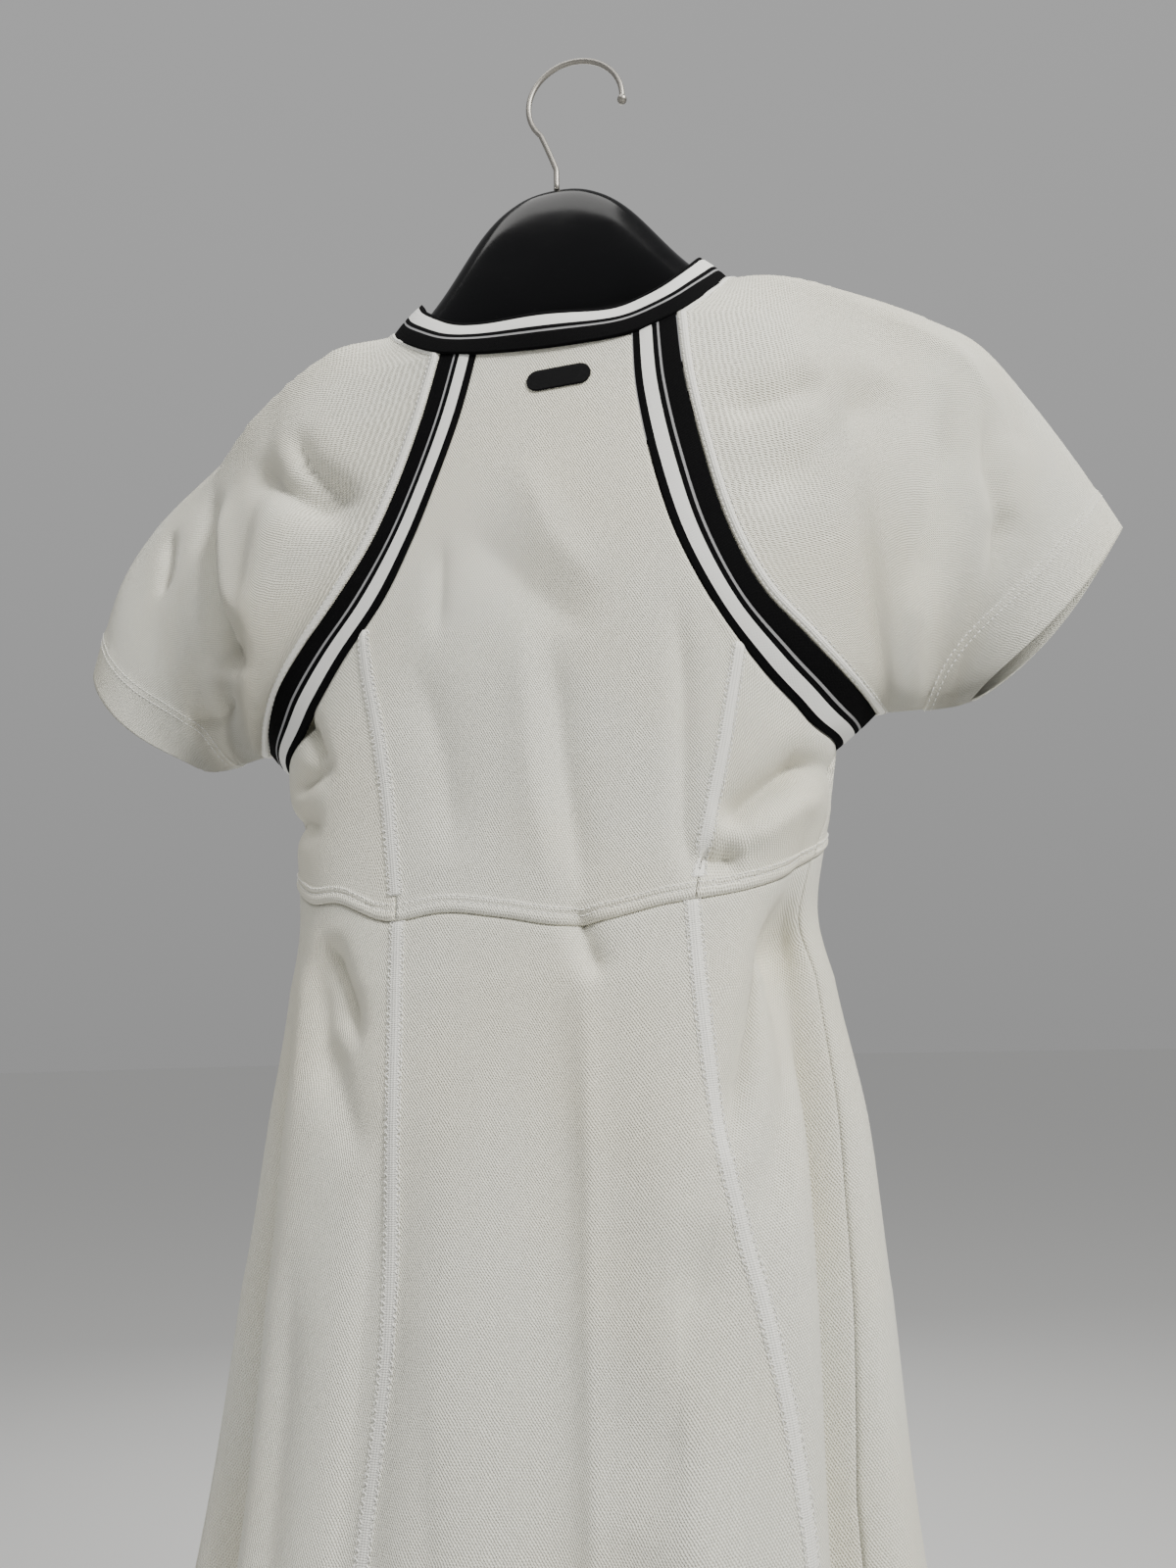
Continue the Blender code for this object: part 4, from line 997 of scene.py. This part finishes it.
ring = []
for stretch in (neck_between("back"), [neck_keys["back", "right"][i] for i in (0, 1)],
                over_shoulder("right"), [neck_keys["front", "right"][i] for i in (1, 0)],
                neck_between("front")[::-1], [neck_keys["front", "left"][i] for i in (0, 1)],
                over_shoulder("left")[::-1], [neck_keys["back", "left"][i] for i in (1, 0)]):
    if len(stretch) == 2:
        stretch = [stretch[0].lerp(stretch[1], i / TAPE_JOIN_STEPS) for i in range(TAPE_JOIN_STEPS + 1)]
    ring.extend(stretch[:-1])
ring = [point for point, _ in resampled([(p, p) for p in ring + ring[:1]], NECK_SPACING)][:-1]
for _ in range(NECK_SMOOTHING):
    ring = [(ring[i - 1] + ring[i] * 2 + ring[(i + 1) % len(ring)]) / 4 for i in range(len(ring))]
grid = []
for point in ring:
    inward = Vector((-point.x, -point.y, 0)).normalized()
    sideways = inward.x * inward.x
    rise = (Vector((0, 0, 1)) + inward * (BAND_LEAN + BAND_SHOULDER_LEAN * sideways)).normalized()
    out = rise.cross(inward).cross(rise).normalized() * -1
    clear = SEAM_GAP + CLOTH * BAND_CLEAR * sideways
    line = []
    for j in range(BAND_ROWS + 1):
        share = j / BAND_ROWS
        crown = BAND_CROWN * math.sin(math.pi * share)
        roll_over = crown + stripe_relief(BAND_STRIPES, share) + BAND_LAP_OUT * share
        line.append(point + rise * (clear + BAND_WIDTH * (1 - share) - BAND_LAP * share) + out * roll_over)
    grid.append(line)
grid.append(list(grid[0]))
mesh, work = bpy.data.meshes.new("neckband_cloth"), bmesh.new()
cut = work.loops.layers.uv.new("cut")
verts = [[work.verts.new(point) for point in line] for line in grid[:-1]]
around = lengths_along([line[BAND_ROWS] for line in grid])
for i in range(len(verts)):
    n = (i + 1) % len(verts)
    for j in range(BAND_ROWS):
        corners = [(i, j), (i, j + 1), (i + 1, j + 1), (i + 1, j)]
        band_face = work.faces.new([verts[a % len(verts)][b] for a, b in corners])
        for loop, (a, b) in zip(band_face.loops, corners):
            loop[cut].uv = (b / BAND_ROWS, around[a])
bmesh.ops.recalc_face_normals(work, faces=work.faces)
back_faces = [face for face in work.faces if face.calc_center_median().y > 0]
if min(back_faces, key=lambda face: abs(face.calc_center_median().x)).normal.y < 0:
    bmesh.ops.reverse_faces(work, faces=work.faces)
work.to_mesh(mesh)
work.free()
neckband = dressed("neckband_cloth", mesh, band_cloth, ["neckband"])
solid = neckband.modifiers.new("wall", "SOLIDIFY")
solid.thickness, solid.offset = RIB, 0.0

# Stitching
# White polyester thread. Coverstitch lies over the princess seams, along the sleeves beside the tapes
# and round the hems: two rows of straight stitches, with a zigzag between them on the seams. Two
# straight rows hold the welt over the waist seam.
THREAD_HALF = 0.00030
STITCH_SHAPE = (
    # share of its length, share of its thickness, rise
    (0.00, 0.35, -0.00025),
    (0.22, 0.90, 0.00010),
    (0.78, 0.90, 0.00010),
    (1.00, 0.35, -0.00025),
)
STITCH, STITCH_GAP, ZIGZAG = 0.0021, 0.0007, 0.0016
COVER_HALF, COVER_LIFT, COVER_THICK, COVER_SIDE = 0.0034, 0.00030, 0.00030, 0.4
SLEEVE_COVER = (0.0008, 0.0022, 0.0036, 0.0052)
SLEEVE_ROWS_AT, CUFF_ROWS_AT, HEM_ROWS_AT = (0.0010, 0.0052), (0.0195, 0.0225), (0.0165, 0.0195)
SURFACE = CLOTH / 2 + 0.00005
SEAM_EDGE, ZIGZAG_SUNK, ROW_LIFT, ZIGZAG_SHARE = 0.0001, 0.00008, 0.0001, 0.45
COVER_SLANT, COVER_PITCH = 0.8, 0.0009
bodice_share = PRINCESS_STEP / (PRINCESS_STEP + BODICE_SIDE_ROWS + 1)
WELT_ROWS = 13

thread, thread_tree, add, thread_shader = new_finish("white_thread")
twist = add("ShaderNodeTexWave", {"Scale": 900.0, "Distortion": 1.5, "Detail": 1.0},
            bands_direction="DIAGONAL")
thread_tone = add("ShaderNodeMix", {0: twist.outputs["Fac"], 6: (0.78, 0.775, 0.73, 1),
                                    7: (0.86, 0.855, 0.82, 1)}, data_type="RGBA")
thread_tree.links.new(thread_tone.outputs[2], thread_shader.inputs["Base Color"])
thread_shader.inputs["Roughness"].default_value = 0.6
thread_shader.inputs["Sheen Weight"].default_value = 0.2


def line_in(guide, edge, distance, first=0.0):
    """A line on a panel at a distance in from one of its edges: points with their normals."""
    grid, normals = guide
    if edge in ("top", "foot"):
        lines = [[(line[j], normal[j]) for line, normal in zip(grid, normals)] for j in range(len(grid[0]))]
    else:
        lines = [list(zip(line, normal)) for line, normal in zip(grid, normals)]
    path = []
    for line in lines:
        if edge in ("right", "foot"):
            line = line[::-1]
        run = lengths_along([point for point, _ in line])
        step = min(max(bisect.bisect_left(run, distance), 1), len(run) - 1)
        share = (distance - run[step - 1]) / (run[step] - run[step - 1])
        (a, na), (b, nb) = line[step - 1], line[step]
        path.append((a.lerp(b, share), na.lerp(nb, share).normalized()))
    return path[int(first * len(path)):]


def skin_loops(work, loops):
    """Faces between a row of equal loops of vertices, closed at both ends."""
    sides = len(loops[0])
    for first, second in zip(loops, loops[1:]):
        for k in range(sides):
            n = (k + 1) % sides
            work.faces.new((first[k], first[n], second[n], second[k]))
    work.faces.new(loops[0][::-1])
    work.faces.new(loops[-1])


def add_stitch(work, start, end, normal, lift):
    """One stitch: a short thread that dips into the cloth at both ends."""
    along = (end - start).normalized()
    side = normal.cross(along).normalized()
    rings = []
    for share, size, rise in STITCH_SHAPE:
        centre = start.lerp(end, share) + normal * (lift + rise)
        half = THREAD_HALF * size
        rings.append([work.verts.new(centre + side * (half * a) + normal * (half * b))
                      for a, b in ((1, 0), (0, 1), (-1, 0), (0, -1))])
    skin_loops(work, rings)


def straight_row(work, path, lift):
    spots = resampled(path, STITCH + STITCH_GAP)
    for (start, normal), (end, _) in zip(spots, spots[1:]):
        gap = (end - start).normalized() * (STITCH_GAP / 2)
        add_stitch(work, start + gap, end - gap, normal, lift)


def zigzag_row(work, path_a, path_b, lift):
    a, b = resampled(path_a, ZIGZAG), resampled(path_b, ZIGZAG)
    for k in range(min(len(a), len(b)) - 1):
        here, there = (a[k], b[k + 1]) if k % 2 else (b[k], a[k + 1])
        add_stitch(work, here[0], there[0], here[1], lift)


def stitched(name, rows):
    """One mesh for the rows of thread of one kind of seam."""
    work = bmesh.new()
    for row in rows:
        row(work)
    bmesh.ops.recalc_face_normals(work, faces=work.faces)
    mesh = bpy.data.meshes.new(name)
    work.to_mesh(mesh)
    work.free()
    return dressed(name, mesh, thread, [])


cover, cover_tree, add, cover_shader = new_finish("cover_threads")
laid = add("ShaderNodeSeparateXYZ", {0: add("ShaderNodeUVMap", uv_map="cut").outputs[0]})
slanted = [add("ShaderNodeMath", {0: laid.outputs[0], 1: slant, 2: laid.outputs[1]},
               operation="MULTIPLY_ADD").outputs[0] for slant in (COVER_SLANT, -COVER_SLANT)]
crossed = add("ShaderNodeMath", {0: sine_of(add, slanted[0], COVER_PITCH),
                                 1: sine_of(add, slanted[1], COVER_PITCH)}, operation="MULTIPLY")
# painted shade: the low gaps between the crossing threads are darkened in colour, following the same pattern
# as the bump
thread_gap_shade = add("ShaderNodeMapRange", {"Value": crossed.outputs[0], "From Min": -1.0})
cover_mix = add("ShaderNodeMix", {0: thread_gap_shade.outputs[0], 6: (0.74, 0.73, 0.67, 1),
                                  7: (0.90, 0.895, 0.85, 1)}, data_type="RGBA")
cover_tree.links.new(cover_mix.outputs[2], cover_shader.inputs["Base Color"])
cover_bump = add("ShaderNodeBump", {"Height": crossed.outputs[0], "Strength": 0.7, "Distance": 0.0002})
cover_tree.links.new(cover_bump.outputs[0], cover_shader.inputs["Normal"])
cover_shader.inputs["Roughness"].default_value = 0.7


def thread_ribbon(name, rows, across, run, over_seam=False):
    """The threads of a coverstitch laid flat on the cloth, lower at both sides. Over a seam the lines of
    two panels may cross, so there the faces are first turned to agree."""
    last = len(across) - 1
    lift = SURFACE + COVER_LIFT
    mesh, work = bpy.data.meshes.new(name), bmesh.new()
    cut = work.loops.layers.uv.new("cut")
    verts = [[work.verts.new(point + normal * lift * (COVER_SIDE if j in (0, last) else 1.0))
              for j, (point, normal) in enumerate(row)] for row in rows]
    for i in range(len(verts) - 1):
        for j in range(last):
            corners = [(i, j), (i + 1, j), (i + 1, j + 1), (i, j + 1)]
            face = work.faces.new([verts[a][b] for a, b in corners])
            for loop, (a, b) in zip(face.loops, corners):
                loop[cut].uv = (across[b], run[a])
    if over_seam:
        bmesh.ops.recalc_face_normals(work, faces=work.faces)
    work.faces.ensure_lookup_table()
    if work.faces[len(work.faces) // 2].normal.dot(rows[len(rows) // 2][3][1]) < 0:
        bmesh.ops.reverse_faces(work, faces=work.faces)
    work.to_mesh(mesh)
    work.free()
    piece = dressed(name, mesh, cover, [])
    solid = piece.modifiers.new("threads", "SOLIDIFY")
    solid.thickness, solid.offset = COVER_THICK, -1.0


def princess_cover(name, centre, edge, side_panel, skip, stop):
    """A ribbon over both edges of a princess seam."""
    paths = [line_in(side_panel, "left", d) for d in (COVER_HALF, COVER_HALF / 2, SEAM_EDGE)]
    paths += [line_in(centre, edge, d)[skip:] for d in (SEAM_EDGE, COVER_HALF / 2, COVER_HALF)]
    rows = list(zip(*paths))[:stop]
    across = [(j - 2.5) * COVER_HALF / 2.5 for j in range(6)]
    lifted = [row[2][0] + row[2][1] * (SURFACE + COVER_LIFT) for row in rows]
    thread_ribbon(name, rows, across, lengths_along(lifted), over_seam=True)


def covered_seam(guide, edge, near, far):
    def row(work):
        inner, outer = (line_in(guide, edge, d) for d in (near, far))
        straight_row(work, inner, SURFACE)
        straight_row(work, outer, SURFACE)
        zigzag_row(work, inner, outer, SURFACE - ZIGZAG_SUNK)
    return row


def twin_rows(guide, edge, near, far):
    def row(work):
        for distance in (near, far):
            straight_row(work, line_in(guide, edge, distance), SURFACE)
    return row


def edge_rows(guide, edge, first, stop):
    def row(work):
        outer, inner = (line_in(guide, edge, d, first)[:stop]
                        for d in (COVER_HALF, COVER_HALF * ZIGZAG_SHARE))
        straight_row(work, outer, SURFACE + ROW_LIFT)
        zigzag_row(work, outer, inner, SURFACE + ROW_LIFT)
    return row


for face in ("back", "front"):
    rows = []
    for edge in ("left", "right"):
        for part, skip, share in (("bodice", PRINCESS_STEP, bodice_share), ("skirt", 0, 0.0)):
            centre, flank = seam_guides[f"{part}_{face}_centre"], seam_guides[f"{part}_{face}_side_{edge}"]
            stop = -WELT_ROWS if part == "bodice" else None
            princess_cover(f"{part}_{face}_princess_cover_{edge}", centre, edge, flank, skip, stop)
            rows.append(edge_rows(centre, edge, share, stop))
            rows.append(edge_rows(flank, "left", 0.0, stop))
    stitched(f"princess_stitching_{face}", rows)
    panels = [f"_{face}_centre", f"_{face}_side_left", f"_{face}_side_right"]
    stitched(f"waist_stitching_{face}",
             [twin_rows(seam_guides["bodice" + panel], "foot", WELT_RIDGE, WELT_TOP) for panel in panels])
    stitched(f"hem_stitching_{face}",
             [twin_rows(seam_guides["skirt" + panel], "foot", *HEM_ROWS_AT) for panel in panels])
for side in SLEEVES:
    guide = seam_guides[f"sleeve_{side}"]
    rows = list(zip(*[line_in(guide, "top", d) for d in SLEEVE_COVER]))
    thread_ribbon(f"sleeve_{side}_cover", rows, SLEEVE_COVER, lengths_along([row[1][0] for row in rows]))
    stitched(f"sleeve_stitching_{side}", [covered_seam(guide, "top", *SLEEVE_ROWS_AT),
                                          twin_rows(guide, "foot", *CUFF_ROWS_AT)])

# Neck label
# A heat-sealed transfer in the shape of a pill on the centre back, under the neckband. It is left
# blank: a thin black film with a slight gloss.
LABEL_WIDTH, LABEL_HEIGHT, LABEL_THICK = 0.0310, 0.0110, 0.0005
LABEL_MIDDLE, LABEL_TILT = (-0.0100, -0.2190), math.radians(-4.0)
LABEL_COLUMNS, LABEL_ROWS, LABEL_LEAST_HALF = 56, 12, 0.0004

film, film_tree, add, film_shader = new_finish("black_transfer")
grain = add("ShaderNodeTexNoise", {"Scale": 900.0, "Detail": 3.0})
film_tone = add("ShaderNodeMix", {0: grain.outputs[0], 6: (0.0025, 0.0025, 0.003, 1),
                                  7: (0.006, 0.006, 0.0065, 1)}, data_type="RGBA")
film_tree.links.new(film_tone.outputs[2], film_shader.inputs["Base Color"])
film_rough = add("ShaderNodeMapRange", {"Value": grain.outputs[0], "To Min": 0.42, "To Max": 0.6})
film_tree.links.new(film_rough.outputs[0], film_shader.inputs["Roughness"])
film_bump = add("ShaderNodeBump", {"Height": grain.outputs[0], "Strength": 0.25, "Distance": 0.0002})
film_tree.links.new(film_bump.outputs[0], film_shader.inputs["Normal"])
film_shader.inputs["Specular IOR Level"].default_value = 0.06

grid = []
end = LABEL_HEIGHT / 2
for i in range(LABEL_COLUMNS + 1):
    reach = -math.cos(math.pi * i / LABEL_COLUMNS) * LABEL_WIDTH / 2
    past = max(abs(reach) - (LABEL_WIDTH / 2 - end), 0.0)
    half = max(math.sqrt(max(end * end - past * past, 0.0)), LABEL_LEAST_HALF)
    line = []
    for j in range(LABEL_ROWS + 1):
        share = 2 * j / LABEL_ROWS - 1
        across = reach * math.cos(LABEL_TILT) - share * half * math.sin(LABEL_TILT)
        up = reach * math.sin(LABEL_TILT) + share * half * math.cos(LABEL_TILT)
        x, z = LABEL_MIDDLE[0] + across, LABEL_MIDDLE[1] + up
        line.append(body_point(angle_at(x, z), z) + Vector((0, CLOTH / 2 + SEAM_GAP + LABEL_THICK / 2, 0)))
    grid.append(line)
mesh, work = bpy.data.meshes.new("neck_label_film"), bmesh.new()
verts = [[work.verts.new(point) for point in line] for line in grid]
for i in range(LABEL_COLUMNS):
    for j in range(LABEL_ROWS):
        work.faces.new((verts[i][j], verts[i + 1][j], verts[i + 1][j + 1], verts[i][j + 1]))
bmesh.ops.recalc_face_normals(work, faces=work.faces)
work.to_mesh(mesh)
work.free()
label = dressed("neck_label_film", mesh, film, ["neck_label"])
solid = label.modifiers.new("film", "SOLIDIFY")
solid.thickness, solid.offset = LABEL_THICK, 0.0

# Hanger
# A moulded hanger of black plastic with a low arch at its neck and broad shoulders that lean back. Its
# skin is smooth and fairly glossy, with fine scratches and a little dust.
HANGER_TILT, HANGER_PIVOT_Z = math.radians(2.2), -0.120
HANGER_SECTIONS = (
    # x, y, z, half_long, half_thick, lean
    (0.0000, 0.0000, -0.1175, 0.0385, 0.0065, 0),
    (0.0200, 0.0000, -0.1200, 0.0370, 0.0065, 0),
    (0.0400, 0.0000, -0.1285, 0.0295, 0.0068, 0),
    (0.0660, 0.0010, -0.1520, 0.0175, 0.0072, 6),
    (0.0875, 0.0020, -0.1682, 0.0120, 0.0070, 20),
    (0.1120, -0.0060, -0.1702, 0.0160, 0.0080, 40),
    (0.1500, -0.0223, -0.1731, 0.0200, 0.0085, 45),
    (0.1900, -0.0290, -0.1940, 0.0175, 0.0085, 45),
    (0.2080, -0.0325, -0.2075, 0.0130, 0.0080, 42),
    (0.2145, -0.0335, -0.2130, 0.0060, 0.0050, 40),
)
HANGER_RINGS, HANGER_SIDES = 150, 48

plastic, plastic_tree, add, plastic_shader = new_finish("black_gloss_plastic")
local = add("ShaderNodeTexCoord")
streaks = add("ShaderNodeMapping", {"Vector": local.outputs["Object"], "Scale": (1.0, 1.4, 1.8)})
scuff = add("ShaderNodeTexNoise", {"Vector": streaks.outputs[0], "Scale": 30.0, "Detail": 6.0})
scuff_rough = add("ShaderNodeMapRange", {"Value": scuff.outputs[0], "From Min": 0.35, "From Max": 0.75,
                                         "To Min": 0.10, "To Max": 0.20})
plastic_tree.links.new(scuff_rough.outputs[0], plastic_shader.inputs["Roughness"])
dust = add("ShaderNodeTexNoise", {"Vector": local.outputs["Object"], "Scale": 420.0, "Detail": 4.0})
dusty = add("ShaderNodeMapRange", {"Value": dust.outputs[0], "From Min": 0.66, "From Max": 0.80,
                                   "To Max": 0.10})
plastic_tone = add("ShaderNodeMix", {0: dusty.outputs[0], 6: (0.0018, 0.0019, 0.0024, 1),
                                     7: (0.05, 0.05, 0.05, 1)}, data_type="RGBA")
plastic_tree.links.new(plastic_tone.outputs[2], plastic_shader.inputs["Base Color"])
orange_peel = add("ShaderNodeBump", {"Height": dust.outputs[0], "Strength": 0.02, "Distance": 0.0003})
plastic_shader.inputs["Specular IOR Level"].default_value = 0.22
plastic_tree.links.new(orange_peel.outputs[0], plastic_shader.inputs["Normal"])

rows = [(-row[0],) + row[1:] for row in HANGER_SECTIONS[:0:-1]] + list(HANGER_SECTIONS)
mesh, work = bpy.data.meshes.new("hanger_shell"), bmesh.new()
loops = []
for i in range(HANGER_RINGS + 1):
    x, y, z, long, thick, lean = spline(rows, (len(rows) - 1) * i / HANGER_RINGS)
    lean = math.radians(lean)
    loop = []
    for k in range(HANGER_SIDES):
        turn = 2 * math.pi * k / HANGER_SIDES
        along, across = long * math.cos(turn), thick * math.sin(turn)
        dy = -along * math.sin(lean) + across * math.cos(lean)
        rise = z + along * math.cos(lean) + across * math.sin(lean) - HANGER_PIVOT_Z
        tilted_x = x * math.cos(HANGER_TILT) + rise * math.sin(HANGER_TILT)
        tilted_z = rise * math.cos(HANGER_TILT) - x * math.sin(HANGER_TILT) + HANGER_PIVOT_Z
        loop.append(work.verts.new((tilted_x, y + dy, tilted_z)))
    loops.append(loop)
skin_loops(work, loops)
bmesh.ops.recalc_face_normals(work, faces=work.faces)
work.to_mesh(mesh)
work.free()
dressed("hanger_shell", mesh, plastic, ["hanger_body"])

# Hook
# A steel wire, satin finished, bent from the hanger's neck round to a small ball that keeps it from
# scratching the rail.
WIRE_RADIUS, HOOK_RADIUS, BALL_RADIUS = 0.0015, 0.0260, 0.0026
HOOK_TIP_ANGLE, HOOK_START_ANGLE, NECK_FOOT_Z = 182, -42, -0.0786
WIRE_SIDES, FOOT_STEP, LEAD_STEPS, ARC_STEPS, BALL_STEPS = 24, 0.003, 10, 90, 12
BALL_CLEAR, BALL_CLOSE, LEAD_ANGLE = 0.0003, 0.995, 14

steel, steel_tree, add, steel_shader = new_finish("satin_steel")
brushed = add("ShaderNodeTexNoise", {"Scale": 700.0, "Detail": 3.0})
steel_rough = add("ShaderNodeMapRange", {"Value": brushed.outputs[0], "To Min": 0.42, "To Max": 0.50})
steel_tree.links.new(steel_rough.outputs[0], steel_shader.inputs["Roughness"])
steel_tone = add("ShaderNodeMix", {0: brushed.outputs[0], 6: (0.30, 0.285, 0.26, 1),
                                   7: (0.36, 0.345, 0.315, 1)}, data_type="RGBA")
steel_tree.links.new(steel_tone.outputs[2], steel_shader.inputs["Base Color"])
steel_shader.inputs["Metallic"].default_value = 1.0

hook_middle = Vector((0, 0, -HOOK_RADIUS))


def on_hook(degrees):
    turn = math.radians(degrees)
    return hook_middle + Vector((math.cos(turn), 0, math.sin(turn))) * HOOK_RADIUS


path = [Vector((PLUMB, 0, NECK_FOOT_Z + FOOT_STEP * i)) for i in range(5)]
lead = [path[2], path[4], on_hook(HOOK_START_ANGLE), on_hook(HOOK_START_ANGLE + LEAD_ANGLE)]
path += [Vector(spline(lead, 1 + i / LEAD_STEPS)) for i in range(1, LEAD_STEPS)]
sweep = HOOK_TIP_ANGLE - HOOK_START_ANGLE
path += [on_hook(HOOK_START_ANGLE + sweep * i / ARC_STEPS) for i in range(ARC_STEPS + 1)]
radii = [WIRE_RADIUS] * len(path)
tip, along = path[-1], (path[-1] - path[-2]).normalized()
ball_reach = math.sqrt(BALL_RADIUS ** 2 - WIRE_RADIUS ** 2)
for i in range(BALL_STEPS + 1):
    reach = -ball_reach + (ball_reach + BALL_RADIUS * BALL_CLOSE) * i / BALL_STEPS
    path.append(tip + along * (reach + ball_reach + BALL_CLEAR))
    radii.append(math.sqrt(max(BALL_RADIUS ** 2 - reach ** 2, 1e-9)))
mesh, work = bpy.data.meshes.new("hook_bent_wire"), bmesh.new()
loops = []
for i, (point, radius) in enumerate(zip(path, radii)):
    ahead = (path[min(i + 1, len(path) - 1)] - path[max(i - 1, 0)]).normalized()
    side = Vector((0, 1, 0))
    other = ahead.cross(side).normalized()
    loops.append([work.verts.new(point + side * (radius * math.cos(2 * math.pi * k / WIRE_SIDES))
                                 + other * (radius * math.sin(2 * math.pi * k / WIRE_SIDES)))
                  for k in range(WIRE_SIDES)])
skin_loops(work, loops)
bmesh.ops.recalc_face_normals(work, faces=work.faces)
work.to_mesh(mesh)
work.free()
hook = dressed("hook_bent_wire", mesh, steel, ["hook_wire", "hook_ball"])
hook.location.x = 0.0
